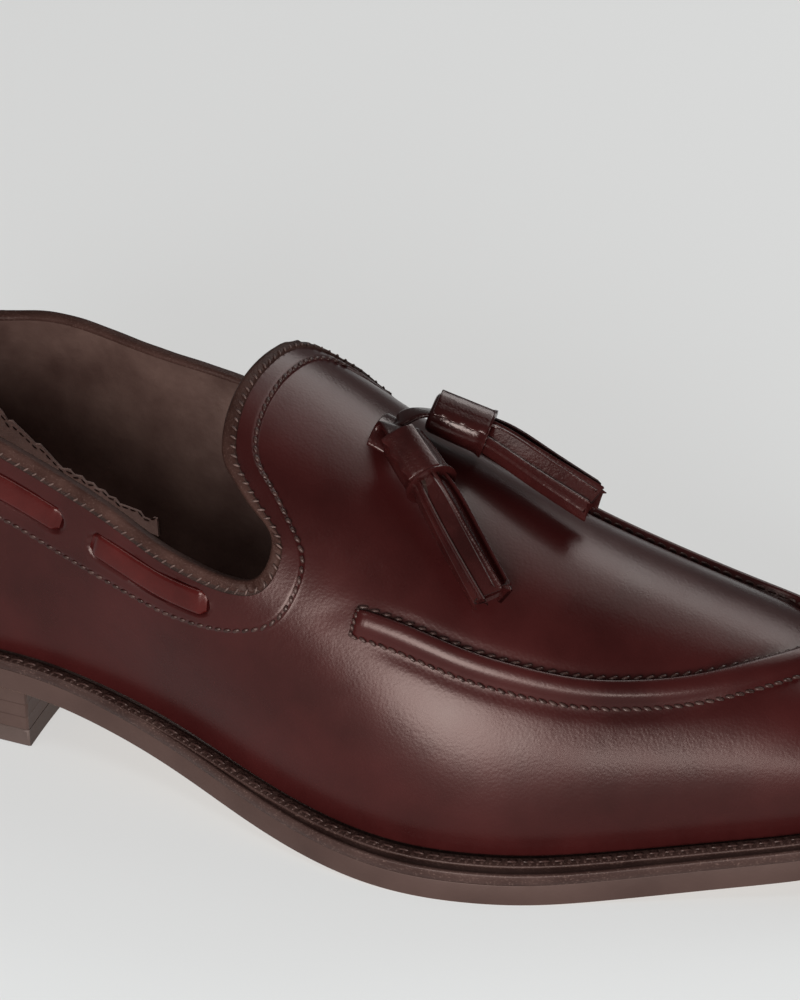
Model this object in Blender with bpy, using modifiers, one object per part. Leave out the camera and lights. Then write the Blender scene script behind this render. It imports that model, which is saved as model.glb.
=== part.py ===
"""Tassel loafer, right shoe: builds every solid of the shoe, in metres.

The shoe stands on its heel and forefoot on z = 0. X runs to the toe, Y to the wearer's
left, which is the inner side of a right shoe. The tables count x from the back of the sole
in millimetres. When a mesh is made, x is moved so that 0 is the middle of the heel's flat
underside, and MM turns it all into metres.
"""
import math

import bmesh
import bpy
import numpy as np
from mathutils import Vector

MM = 0.001
heel_middle_x = 31.0

# Joint between neighbouring pieces
gap = 0.3
welt_joint = 0.5

# Leather and layers
outsole_thickness = 5.2
wall_thickness = 2.2
collar_step = 1.0
collar_step_run = 0.7
welt_thickness = 2.8
welt_setback = 0.15
welt_reach = 0.4
insole_thickness = 5.0
insole_clearance = 1.6

# Heel block
heel_breast_x = 60.5
heel_breast_hollow = 1.6
heel_top_inset = 1.0
heel_foot_inset = 2.4
top_piece_thickness = 5.0
heel_seat_z = 17.3
heel_share = 0.2
heel_columns = 57
breast_columns = 9

# Raised apron seam
ridge_half_width = 3.5
ridge_height = 2.6
ridge_depth = 1.5

# Rolled edge round the opening
binding_height = 3.2
binding_width = 3.4
binding_overlap = 0.4
binding_lift = 0.38
binding_profile = ((-1.0, 0.0), (1.0, 0.0), (1.0, 0.47), (0.55, 0.81), (-0.55, 0.81), (-1.0, 0.47))

# Flat lace threaded round the collar
lace_width = 6.2
lace_thickness = 1.5
lace_stations = 13
lace_end_width = 0.7
lace_end_crown = 0.55

# Strip over the back of the heel
tab_half_width = 9.0
tab_thickness = 1.5
topline_length = 470.0
tab_columns = 7
tab_shares = ((0.02, 0.05), (0.25, 0.05), (0.5, 0.05), (0.72, 0.1), (0.86, 0.75), (1.0, 0.75))
tab_fold = ((1.6, 1.3), (-0.2, 2.2), (-2.2, 1.6), (-3.8, 0.0), (-4.0, -4.0), (-4.0, -8.0))

# Tassels
cap_length = 15.0
cap_radius = 6.2
skirt_root_radius = 4.6
skirt_end_radius = 6.3
skirt_flatness = 0.78
cap_flatness = 0.9
core_sides = 10
cap_sides = 12
strip_count = 8
strip_half_width = 1.9
strip_half_thickness = 1.0
strip_unevenness = 1.6

# Mesh fineness
collar_columns = 88
foot_weight = 0.35
side_rings = 11
ring_crowding = 0.18
collar_rings = 4
outline_columns = 68
ridge_stations = 42
ridge_sides = 8
halvings = 34

# The sole edge and the last above it, one row for each section round the shoe.
# name, x and y of the sole edge, margin in to the upper, x of the section's crest point,
# bulge of the wall, height of the bulge as a share, half width of the shoulder
outline_rows = (
    ("heel_back", 0.0, 0.0, 3.0, 36.0, 5.0, 0.30, 24.0),
    ("heel_back_outer", 8.0, -21.0, 3.0, 38.0, 5.0, 0.30, 24.0),
    ("heel_outer", 32.0, -34.0, 3.2, 44.0, 4.0, 0.32, 29.0),
    ("seat_outer", 66.0, -36.0, 3.8, 68.0, 4.0, 0.34, 35.0),
    ("waist_outer", 100.0, -40.5, 5.0, 100.0, 5.0, 0.40, 48.0),
    ("instep_outer", 130.0, -49.0, 6.4, 128.0, 5.0, 0.42, 44.0),
    ("joint_outer", 160.0, -54.5, 7.4, 156.0, 4.0, 0.44, 40.0),
    ("ball_outer", 187.0, -51.5, 7.8, 182.0, 4.0, 0.44, 34.0),
    ("toe_outer_1", 214.0, -40.0, 7.6, 208.0, 4.0, 0.46, 27.0),
    ("toe_outer_2", 241.0, -27.0, 7.2, 230.0, 4.0, 0.50, 23.0),
    ("toe_outer_3", 265.0, -15.5, 7.0, 246.0, 4.0, 0.54, 21.0),
    ("toe_corner_outer", 281.0, -3.0, 6.8, 252.0, 3.6, 0.56, 20.0),
    ("toe_tip", 290.0, 14.0, 6.8, 254.0, 3.4, 0.54, 18.0),
    ("toe_corner_inner", 284.0, 31.5, 6.6, 252.0, 3.4, 0.55, 19.5),
    ("toe_inner_3", 269.0, 43.5, 6.4, 246.0, 3.4, 0.56, 23.0),
    ("toe_inner_2", 250.0, 49.5, 6.4, 235.0, 3.6, 0.52, 26.0),
    ("toe_inner_1", 229.0, 51.8, 6.4, 218.0, 3.8, 0.48, 29.0),
    ("ball_inner", 205.0, 50.0, 6.4, 198.0, 4.6, 0.44, 32.0),
    ("joint_inner", 178.0, 43.0, 5.8, 174.0, 8.0, 0.42, 34.0),
    ("waist_inner", 148.0, 33.0, 4.4, 146.0, 14.0, 0.44, 40.0),
    ("arch_inner", 115.0, 28.0, 3.6, 114.0, 14.0, 0.44, 47.0),
    ("seat_inner", 75.0, 30.5, 3.2, 76.0, 6.0, 0.34, 34.0),
    ("heel_inner", 36.0, 34.0, 3.0, 46.0, 4.5, 0.32, 28.0),
    ("heel_back_inner", 8.0, 21.0, 3.0, 38.0, 5.0, 0.30, 24.0),
)

# Crest of the last: x, height, y, and how far the section leans up to the inner side
crest_rows = (
    (20.0, 140.0, 0.0, 0.00), (50.0, 130.0, 1.5, 0.03), (80.0, 113.5, 2.6, 0.09),
    (98.0, 102.0, 3.0, 0.13), (106.0, 99.3, 3.0, 0.13), (113.0, 97.2, 3.0, 0.13),
    (124.0, 93.0, 3.0, 0.12), (144.0, 85.0, 3.0, 0.10), (165.0, 77.5, 3.2, 0.08),
    (185.0, 70.0, 3.8, 0.06), (205.0, 63.0, 5.2, 0.05), (225.0, 56.5, 8.0, 0.04),
    (240.0, 51.8, 10.4, 0.03), (250.0, 48.2, 12.0, 0.02), (260.0, 44.0, 13.0, 0.02),
)

# Underside of the sole: x, height above the floor
sole_rows = (
    (0.0, 17.5), (30.0, 17.5), (62.0, 17.3), (80.0, 14.6), (95.0, 11.6), (110.0, 8.3),
    (125.0, 5.0), (140.0, 2.4), (155.0, 0.7), (170.0, 0.0), (185.0, 0.0), (198.0, 0.0),
    (215.0, 0.8), (233.0, 2.4), (250.0, 4.3), (270.0, 7.2), (300.0, 12.2),
)

# The collar on the flat pattern: name, outline row that the cut runs down to, the topline
# along and across, the collar's lower seam along and across
collar_rows = (
    ("back", 0.0, 18.5, 0.4, 13.0, 0.3),
    ("back_outer", 1.1, 23.0, -9.2, 17.3, -11.1),
    ("quarter_outer_1", 2.1, 38.0, -16.0, 37.2, -20.8),
    ("quarter_outer_2", 2.8, 57.0, -16.6, 56.4, -21.7),
    ("side_outer_1", 3.5, 77.3, -16.2, 76.0, -22.2),
    ("side_outer_2", 4.1, 94.5, -16.4, 95.0, -23.0),
    ("dip_outer", 4.8, 108.5, -17.9, 110.5, -24.2),
    ("throat_outer_1", 5.6, 118.2, -18.6, 123.5, -23.9),
    ("throat_outer_2", 6.4, 124.9, -16.9, 132.0, -20.4),
    ("throat_outer_3", 7.3, 125.2, -13.6, 133.6, -15.6),
    ("tongue_outer_1", 8.2, 119.8, -11.0, 129.0, -11.6),
    ("tongue_outer_2", 9.2, 113.0, -8.2, 122.0, -8.0),
    ("tongue_outer_3", 10.3, 108.2, -4.9, 115.6, -4.2),
    ("tongue_outer_4", 11.2, 106.5, -0.6, 114.2, -0.2),
    ("tongue_top", 12.0, 106.9, 3.1, 114.6, 3.0),
    ("tongue_inner_4", 12.8, 108.2, 5.4, 115.4, 4.7),
    ("tongue_inner_3", 13.7, 111.0, 7.4, 117.6, 6.6),
    ("tongue_inner_2", 14.8, 117.4, 8.9, 123.0, 8.1),
    ("tongue_inner_1", 15.8, 123.6, 10.1, 130.0, 9.8),
    ("throat_inner_4", 16.6, 127.0, 11.35, 133.9, 11.7),
    ("throat_inner_3", 17.2, 127.0, 12.4, 133.7, 13.2),
    ("throat_inner_2", 17.8, 124.4, 13.6, 131.4, 15.3),
    ("throat_inner_1", 18.5, 119.6, 14.05, 125.0, 16.7),
    ("dip_inner", 19.2, 110.6, 14.0, 112.4, 17.2),
    ("side_inner_2", 20.1, 96.0, 13.8, 96.5, 17.2),
    ("side_inner_1", 20.7, 77.4, 15.0, 77.4, 18.8),
    ("quarter_inner_2", 21.3, 58.0, 17.0, 57.3, 21.2),
    ("quarter_inner_1", 22.0, 38.6, 17.2, 37.6, 21.6),
    ("back_inner", 23.0, 23.2, 10.4, 17.4, 12.0),
)

# Middle of the raised seam on the flat pattern, from the outer end round the toe
ridge_rows = (
    ("outer_end", 147.0, -19.9), ("outer_1", 160.0, -19.9), ("outer_2", 174.0, -19.6),
    ("outer_3", 187.0, -18.0), ("outer_4", 200.0, -15.0), ("outer_5", 212.5, -10.4),
    ("outer_6", 225.0, -4.4), ("outer_7", 235.6, 1.6), ("front_outer", 243.4, 8.0),
    ("front", 247.4, 15.4), ("front_inner", 246.0, 23.0), ("inner_6", 239.4, 28.6),
    ("inner_5", 227.0, 30.4), ("inner_4", 212.0, 27.6), ("inner_3", 197.0, 23.0),
    ("inner_2", 182.0, 18.8), ("inner_1", 166.0, 15.0), ("inner_end", 150.0, 12.0),
)

# Stretches of lace seen on the collar, as rows of the collar table
lace_runs = (
    ("lace_outer_back", 0.9, 1.62),
    ("lace_outer_middle", 2.0, 3.78),
    ("lace_outer_front", 4.22, 6.2),
    ("lace_inner_front", 22.95, 24.95),
    ("lace_inner_middle", 25.35, 27.15),
    ("lace_inner_back", 27.5, 28.2),
)
lace_share = 0.52

# Tassels: name, lace tail start, cap start, cap end and skirt end, each x, y, z
tassel_rows = (
    ("tassel_outer", (142.0, 2.5, 91.6), (147.5, -4.2, 91.4), (158.2, -12.8, 86.6), (179.5, -27.6, 69.5)),
    ("tassel_inner", (143.0, 10.0, 91.4), (148.0, 13.6, 90.6), (161.4, 15.6, 86.4), (190.5, 10.8, 76.4)),
)

# Knot of lace on the vamp: x, y, half length, half width and height
knot_x = 141.0
knot_y = 6.0
knot_half_length = 5.0
knot_half_width = 7.6
knot_height = 3.4
knot_clearance = 0.4
knot_stations = 7


def natural_spline(places, values):
    """A smooth curve through the values, flat-ended, with its slope on request."""
    places = np.asarray(places, float)
    values = np.asarray(values, float)
    if values.ndim == 1:
        values = values[:, None]
    count = len(places)
    steps = np.diff(places)
    system = np.zeros((count, count))
    target = np.zeros(values.shape)
    system[0, 0] = 1.0
    system[-1, -1] = 1.0
    for i in range(1, count - 1):
        system[i, i - 1] = steps[i - 1]
        system[i, i] = 2.0 * (steps[i - 1] + steps[i])
        system[i, i + 1] = steps[i]
        target[i] = 3.0 * ((values[i + 1] - values[i]) / steps[i] - (values[i] - values[i - 1]) / steps[i - 1])
    bend = np.linalg.solve(system, target)

    def curve(x, slope=False):
        x = np.asarray(x, float)
        i = np.clip(np.searchsorted(places, x) - 1, 0, count - 2)
        t = (x - places[i])[..., None]
        step = steps[i][..., None]
        linear = (values[i + 1] - values[i]) / step - step * (2.0 * bend[i] + bend[i + 1]) / 3.0
        cubic = (bend[i + 1] - bend[i]) / (3.0 * step)
        if slope:
            return linear + 2.0 * bend[i] * t + 3.0 * cubic * t * t
        return values[i] + linear * t + bend[i] * t * t + cubic * t ** 3

    return curve


def closed_spline(rows, period_key=None):
    """A closed smooth curve through the rows, by share of its length, and the share of a row."""
    rows = np.asarray(rows, float)
    count = len(rows)
    lap = 4
    index = np.arange(-lap, count + lap + 1)
    values = rows[index % count].copy()
    if period_key is not None:
        values[:, period_key[0]] += period_key[1] * np.floor_divide(index, count)
    chord = np.linalg.norm(np.diff(values[:, -2:] if period_key else values[:, :2], axis=0), axis=1)
    length = np.concatenate([[0.0], np.cumsum(chord)])
    curve = natural_spline(length, values)
    start = length[lap]
    end = length[lap + count]

    def at_share(share):
        return curve(start + (np.asarray(share, float) % 1.0) * (end - start))

    def share_of(row):
        place = np.interp(np.asarray(row, float) + lap, np.arange(len(length)), length)
        return (place - start) / (end - start)

    return at_share, share_of


outline_share, outline_share_of = closed_spline([row[1:] for row in outline_rows])
collar_share, collar_share_of = closed_spline([row[1:] for row in collar_rows], (0, len(outline_rows)))
crest_curve = natural_spline([row[0] for row in crest_rows], [row[1:] for row in crest_rows])
sole_curve = natural_spline([row[0] for row in sole_rows], [row[1] for row in sole_rows])
toe_row = [row[0] for row in outline_rows].index("toe_tip")
toe_share = float(outline_share_of(toe_row))
crest_front_x = outline_rows[toe_row][4]


def sole_bottom(x):
    return sole_curve(x)[..., 0]


def sole_top(x):
    """Top of the welt, which the upper stands on."""
    return sole_bottom(x) + outsole_thickness + welt_joint + welt_thickness


def edge(share, inset=None):
    """The sole edge moved inwards: by inset, or by each section's own margin."""
    share = np.asarray(share, float)
    step = 1e-3
    row = outline_share(share)
    along = (outline_share(share + step) - outline_share(share - step))[..., :2]
    along /= np.linalg.norm(along, axis=-1, keepdims=True)
    inward = np.stack([-along[..., 1], along[..., 0]], -1)
    distance = row[..., 2:3] if inset is None else np.asarray(inset, float)[..., None]
    return row[..., :2] + inward * distance, row


def section_frame(share):
    """Feather point, crest point and profile sizes of the section at a share of the outline."""
    feather, row = edge(share)
    crest_x = row[..., 3]
    crest = np.stack([crest_x, crest_curve(crest_x)[..., 1]], -1)
    return feather, crest, row[..., 4], row[..., 5], row[..., 6]


def last_surface(share, rise):
    """Point of the upper's outside: rise runs from 0 at the feather edge to 1 on the crest."""
    feather, crest, bulge, bulge_height, shoulder = section_frame(share)
    foot_z = sole_top(feather[..., 0]) + gap
    crest_row = crest_curve(crest[..., 0])
    crest_z = crest_row[..., 0]
    lean = crest_row[..., 2]
    slope = crest_curve(crest[..., 0], slope=True)[..., 0]
    out = feather - crest
    reach = np.linalg.norm(out, axis=-1)
    out = out / reach[..., None]
    low = (1.0 - rise) ** 3
    low_mid = 3.0 * (1.0 - rise) ** 2 * rise
    high_mid = 3.0 * (1.0 - rise) * rise ** 2
    high = rise ** 3
    shoulder_z = crest_z + shoulder * (slope * out[..., 0] + lean * out[..., 1])
    radius = low * reach + low_mid * (reach + bulge) + high_mid * shoulder
    bulge_z = foot_z + bulge_height * (crest_z - foot_z)
    z = low * foot_z + low_mid * bulge_z + high_mid * shoulder_z + high * crest_z
    return np.concatenate([crest + out * radius[..., None], z[..., None]], -1)


def pattern_point(along, across):
    """The same surface for a place on the flat pattern, found by halving the outline's share."""
    along = np.asarray(along, float)
    across = np.asarray(across, float)
    outer_side = across < crest_curve(np.clip(along, 0.0, crest_front_x))[..., 1]
    low = np.where(outer_side, 0.0, toe_share)
    high = np.where(outer_side, toe_share, 1.0)
    spot = np.stack([along, across], -1)
    for _ in range(halvings):
        middle = 0.5 * (low + high)
        feather, crest, _bulge, _height, _shoulder = section_frame(middle)
        out = feather - crest
        offset = spot - crest
        before = (out[..., 0] * offset[..., 1] - out[..., 1] * offset[..., 0]) > 0.0
        low = np.where(before, middle, low)
        high = np.where(before, high, middle)
    share = 0.5 * (low + high)
    feather, crest, _bulge, _height, _shoulder = section_frame(share)
    out = feather - crest
    rise = 1.0 - ((spot - crest) * out).sum(-1) / (out * out).sum(-1)
    return last_surface(share, np.clip(rise, 0.0, 1.0))


def pattern_normal(along, across):
    """Outward direction of the surface at a place on the flat pattern."""
    step = 0.5
    length_way = pattern_point(along + step, across) - pattern_point(along - step, across)
    cross_way = pattern_point(along, across + step) - pattern_point(along, across - step)
    normal = np.cross(length_way, cross_way)
    return normal / np.linalg.norm(normal, axis=-1, keepdims=True)


def raised(along, across, height):
    """Point standing height millimetres off the surface."""
    height = np.asarray(height, float)
    return pattern_point(along, across) + pattern_normal(along, across) * height[..., None]


def unit(vector):
    vector = np.asarray(vector, float)
    return vector / np.linalg.norm(vector, axis=-1, keepdims=True)


def clear_scene():
    for thing in list(bpy.data.objects):
        bpy.data.objects.remove(thing, do_unlink=True)


def material(name, colour, roughness):
    made = bpy.data.materials.new(name)
    made.use_nodes = True
    shader = made.node_tree.nodes["Principled BSDF"]
    shader.inputs["Base Color"].default_value = (*colour, 1.0)
    shader.inputs["Roughness"].default_value = roughness
    return made


def mesh_object(name, points, faces, collection, finish):
    """An object whose mesh takes millimetre points."""
    mesh = bpy.data.meshes.new(name)
    places = (np.asarray(points, float) - np.array([heel_middle_x, 0.0, 0.0])) * MM
    mesh.from_pydata(places.tolist(), [], faces)
    mesh.validate()
    mesh.update()
    made = bpy.data.objects.new(name, mesh)
    collection.objects.link(made)
    if finish is not None:
        mesh.materials.append(finish)
    return made


def turn_faces_out(thing):
    mesh = thing.data
    work = bmesh.new()
    work.from_mesh(mesh)
    bmesh.ops.recalc_face_normals(work, faces=work.faces)
    work.to_mesh(mesh)
    work.free()
    mesh.update()


def grid_faces(columns, rows, closed):
    """Quads between neighbouring columns of a grid stored column by column."""
    faces = []
    for i in range(columns if closed else columns - 1):
        j = (i + 1) % columns
        for k in range(rows - 1):
            faces.append((i * rows + k, j * rows + k, j * rows + k + 1, i * rows + k + 1))
    return faces


def swept_bar(name, rings, closed, collection, finish):
    """A solid through rings of points, each ring a list of the same length."""
    rings = np.asarray(rings, float)
    count, sides = rings.shape[:2]
    faces = []
    for i in range(count if closed else count - 1):
        j = (i + 1) % count
        for k in range(sides):
            m = (k + 1) % sides
            faces.append((i * sides + k, j * sides + k, j * sides + m, i * sides + m))
    if not closed:
        faces.append(tuple(range(sides)))
        faces.append(tuple((count - 1) * sides + k for k in reversed(range(sides))))
    made = mesh_object(name, rings.reshape(-1, 3), faces, collection, finish)
    turn_faces_out(made)
    return made


def oval_ring(centre, across, up, half_width, rise, depth, sides):
    """Points round an oval that rises above and sinks below its centre by different amounts."""
    ring = []
    for k in range(sides):
        angle = 2.0 * math.pi * (k + 0.5) / sides
        lift = math.sin(angle) * (rise if math.sin(angle) > 0.0 else depth)
        ring.append(centre + across * (math.cos(angle) * half_width) + up * lift)
    return ring


def outline_sheet(name, loop, stations, height, collection, finish):
    """A flat outline cut into strips at the stations and laid on a height curve."""
    work = bmesh.new()
    corners = [work.verts.new((float(p[0]), float(p[1]), 0.0)) for p in loop]
    work.faces.new(corners)
    for x in stations:
        everything = list(work.verts) + list(work.edges) + list(work.faces)
        bmesh.ops.bisect_plane(work, geom=everything, plane_co=(x, 0.0, 0.0), plane_no=(1.0, 0.0, 0.0), dist=1e-4)
    lowest = min(v.co.x for v in work.verts)
    highest = max(v.co.x for v in work.verts)
    knots = np.array([lowest] + [x for x in stations if lowest < x < highest] + [highest])
    levels = height(knots)
    for vert in work.verts:
        vert.co.z = float(np.interp(vert.co.x, knots, levels))
        vert.co.x -= heel_middle_x
        vert.co *= MM
    work.normal_update()
    if sum(face.normal.z for face in work.faces) < 0.0:
        bmesh.ops.reverse_faces(work, faces=work.faces)
    mesh = bpy.data.meshes.new(name)
    work.to_mesh(mesh)
    work.free()
    made = bpy.data.objects.new(name, mesh)
    collection.objects.link(made)
    mesh.materials.append(finish)
    return made


def thicken(thing, thickness, direction):
    """Solidify along the sheet's normals: direction 1 is up and out, -1 is down and in."""
    wall = thing.modifiers.new("thickness", "SOLIDIFY")
    wall.thickness = thickness * MM
    wall.offset = direction
    wall.use_even_offset = True
    wall.use_rim = True
    return wall


def ease_edges(thing, width, angle):
    soft = thing.modifiers.new("eased_edge", "BEVEL")
    soft.width = width * MM
    soft.segments = 1
    soft.limit_method = "ANGLE"
    soft.angle_limit = math.radians(angle)
    return soft


def join_solid(thing, other):
    """Boolean union of a cutter into a piece, with the cutter kept aside."""
    fuse = thing.modifiers.new("joined_" + other.name, "BOOLEAN")
    fuse.operation = "UNION"
    fuse.solver = "EXACT"
    fuse.object = other
    other.hide_render = True
    other.display_type = "WIRE"
    return fuse


def build_outsole(collection, finish):
    shares = np.linspace(0.0, 1.0, outline_columns, endpoint=False)
    loop, _row = edge(shares, np.zeros(outline_columns))
    stations = [row[0] for row in sole_rows[1:-1]]
    sheet = outline_sheet("outsole", loop, stations, sole_bottom, collection, finish)
    thicken(sheet, outsole_thickness, 1.0)
    ease_edges(sheet, 0.5, 50.0)
    return sheet


def build_welt(collection, finish):
    """The strip that carries the upper, from the sole edge to just inside the wall."""
    shares = np.linspace(0.0, 1.0, outline_columns, endpoint=False)
    margin = outline_share(shares)[..., 2]
    outer, _row = edge(shares, np.full(outline_columns, welt_setback))
    inner, _row = edge(shares, margin + wall_thickness + welt_reach)
    points = []
    for a, b in zip(outer, inner):
        middle = 0.5 * (a + b)
        for spot in (a, middle, b):
            points.append((spot[0], spot[1], float(sole_top(spot[0]))))
    strip = mesh_object("welt", points, grid_faces(outline_columns, 3, True), collection, finish)
    face_up(strip)
    thicken(strip, welt_thickness, -1.0)
    return strip


def face_up(thing):
    """Turn an open sheet so that its faces look up."""
    mesh = thing.data
    if sum(face.normal.z * face.area for face in mesh.polygons) < 0.0:
        mesh.flip_normals()
        mesh.update()


def heel_loop(inset):
    """Outline of the heel with its slightly hollow front, counted anticlockwise."""
    shares = np.linspace(-heel_share, heel_share, heel_columns)
    side, _row = edge(shares, np.full(len(shares), inset))
    keep = [spot for spot in side if spot[0] < heel_breast_x]
    first = keep[0]
    last = keep[-1]
    inner_corner = np.array([heel_breast_x, first[1]])
    outer_corner = np.array([heel_breast_x, last[1]])
    front = []
    for t in np.linspace(0.0, 1.0, breast_columns):
        spot = outer_corner * (1.0 - t) + inner_corner * t
        front.append(spot - np.array([heel_breast_hollow * 4.0 * t * (1.0 - t), 0.0]))
    return np.array(keep[1:-1] + front)


def build_heel(collection, leather, rubber):
    """The stack of lifts and the top piece that it walks on."""
    made = []
    sizes = (
        ("heel_lifts", leather, top_piece_thickness + gap, heel_seat_z - gap, heel_foot_inset - 0.5, heel_top_inset),
        ("heel_top_piece", rubber, 0.0, top_piece_thickness, heel_foot_inset, heel_foot_inset - 0.4),
    )
    for name, finish, low, high, low_inset, high_inset in sizes:
        lower = heel_loop(low_inset)
        upper = heel_loop(high_inset)
        count = len(lower)
        points = [(p[0], p[1], low) for p in lower] + [(p[0], p[1], high) for p in upper]
        faces = [(k, (k + 1) % count, count + (k + 1) % count, count + k) for k in range(count)]
        faces.append(tuple(reversed(range(count))))
        faces.append(tuple(range(count, 2 * count)))
        block = mesh_object(name, points, faces, collection, finish)
        turn_faces_out(block)
        made.append(block)
    return made


def build_insole(collection, finish):
    shares = np.linspace(0.0, 1.0, outline_columns, endpoint=False)
    margin = outline_share(shares)[..., 2]
    loop, _row = edge(shares, margin + wall_thickness + welt_reach + insole_clearance)
    stations = [row[0] for row in sole_rows[1:-1]]

    def bottom(x):
        return sole_bottom(x) + outsole_thickness + gap

    sheet = outline_sheet("insole", loop, stations, bottom, collection, finish)
    thicken(sheet, insole_thickness, 1.0)
    return sheet


def collar_columns_at(positions):
    """Feather, seam and topline places on the pattern for rows of the collar table."""
    row = collar_share(positions)
    lands = row[..., 0]
    feather, _row = edge(outline_share_of(lands % len(outline_rows)))
    return feather, row[..., 3:5], row[..., 1:3]


def column_places():
    """Places round the collar, spread by the collar's length and a share of the sole edge's."""
    fine = np.linspace(0.0, 1.0, 1 + 12 * collar_columns)
    feather, _seam, top = collar_columns_at(fine)
    foot_run = np.linalg.norm(np.diff(feather, axis=0), axis=1)
    top_run = np.linalg.norm(np.diff(top, axis=0), axis=1)
    run = np.concatenate([[0.0], np.cumsum(top_run + foot_weight * foot_run)])
    return np.interp(np.linspace(0.0, run[-1], collar_columns, endpoint=False), run, fine)


def build_upper(collection, cutters, finish):
    """The whole shell: a sheet from the feather edge to the topline, then its wall."""
    positions = column_places()
    feather, seam, top = collar_columns_at(positions)
    points = []
    seam_point = pattern_point(seam[:, 0], seam[:, 1])
    for k in range(side_rings + 1):
        t = k / side_rings
        t = t * (1.0 - ring_crowding * (1.0 - t))
        spot = feather * (1.0 - t) + seam * t
        points.append(pattern_point(spot[:, 0], spot[:, 1]))
    real_band = np.linalg.norm(pattern_point(top[:, 0], top[:, 1]) - seam_point, axis=1)
    start = collar_step_run / real_band
    stop = 1.0 - (binding_height - binding_overlap) / real_band
    for k in range(collar_rings + 1):
        t = start + (stop - start) * (k / collar_rings)
        spot = seam + (top - seam) * t[:, None]
        points.append(raised(spot[:, 0], spot[:, 1], np.full(collar_columns, collar_step)))
    rings = len(points)
    grid = np.stack(points, 1).reshape(-1, 3)
    shell = mesh_object("upper", grid, grid_faces(collar_columns, rings, True), collection, finish)
    outward = Vector((0.0, -1.0, 0.0))
    outer_faces = [f for f in shell.data.polygons if f.center.y < -30.0 * MM]
    if sum(f.normal.dot(outward) for f in outer_faces) < 0.0:
        shell.data.flip_normals()
        shell.data.update()
    thicken(shell, wall_thickness, -1.0)
    ridge = build_ridge(cutters)
    join_solid(shell, ridge)
    return shell


def ridge_path(stations):
    rows = np.array([row[1:] for row in ridge_rows], float)
    length = np.concatenate([[0.0], np.cumsum(np.linalg.norm(np.diff(rows, axis=0), axis=1))])
    curve = natural_spline(length, rows)
    return curve(np.linspace(0.0, length[-1], stations))


def build_ridge(cutters):
    """The raised apron seam as a bar half sunk in the wall, closed to a blunt end."""
    spots = ridge_path(ridge_stations)
    centre = pattern_point(spots[:, 0], spots[:, 1])
    up = pattern_normal(spots[:, 0], spots[:, 1])
    along = unit(np.gradient(centre, axis=0))
    across = unit(np.cross(up, along))
    rings = []
    for i in range(ridge_stations):
        end = min(i, ridge_stations - 1 - i)
        fullness = min(1.0, 0.55 + 0.3 * end)
        rings.append(oval_ring(centre[i], across[i], up[i], ridge_half_width * min(1.0, 0.8 + 0.2 * end),
                               ridge_height * fullness, ridge_depth, ridge_sides))
    return swept_bar("apron_seam_form", rings, False, cutters, None)


def build_binding(collection, finish):
    """The rolled leather edge that closes the top of the wall all round the opening."""
    positions = column_places()
    _feather, seam, top = collar_columns_at(positions)
    seam_point = pattern_point(seam[:, 0], seam[:, 1])
    normal = pattern_normal(top[:, 0], top[:, 1])
    top_point = pattern_point(top[:, 0], top[:, 1])
    real_band = np.linalg.norm(top_point - seam_point, axis=1)
    stop = 1.0 - (binding_height - binding_overlap - gap) / real_band
    foot_spot = seam + (top - seam) * stop[:, None]
    foot = pattern_point(foot_spot[:, 0], foot_spot[:, 1])
    up = unit(top_point - foot)
    half = 0.5 * binding_width
    profile = [(a * half, b * binding_height) for a, b in binding_profile]
    rings = []
    for i in range(collar_columns):
        middle = foot[i] + normal[i] * (collar_step - 0.5 * wall_thickness) + up[i] * binding_lift
        rings.append([middle + normal[i] * a + up[i] * b for a, b in profile])
    return swept_bar("topline_binding", rings, True, collection, finish)


def build_laces(collection, finish):
    """The flat lace on the collar, one solid for each stretch that shows."""
    made = []
    for name, first, last in lace_runs:
        ends = collar_share_of([first, last])
        positions = np.linspace(ends[0], ends[1], lace_stations)
        _feather, seam, top = collar_columns_at(positions)
        spot = top + (seam - top) * lace_share
        base = pattern_point(spot[:, 0], spot[:, 1])
        up = pattern_normal(spot[:, 0], spot[:, 1])
        along = unit(np.gradient(base, axis=0))
        across = unit(np.cross(up, along))
        floor = collar_step + gap
        rings = []
        for i in range(lace_stations):
            at_end = i in (0, lace_stations - 1)
            crown = lace_thickness * (lace_end_crown if at_end else 1.0)
            half = 0.5 * lace_width * (lace_end_width if at_end else 1.0)
            ring = []
            for a, b in ((-half, 0.0), (half, 0.0), (half, 0.6 * crown), (0.5 * half, crown),
                         (-0.5 * half, crown), (-half, 0.6 * crown)):
                ring.append(base[i] + up[i] * (floor + b + sag_allowance(a)) + across[i] * a)
            rings.append(ring)
        made.append(swept_bar(name, rings, False, collection, finish))
    return made


def sag_allowance(offset):
    """Lift that keeps a flat strip clear of the curved wall below it."""
    return 0.1 + 0.012 * abs(offset)


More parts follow.
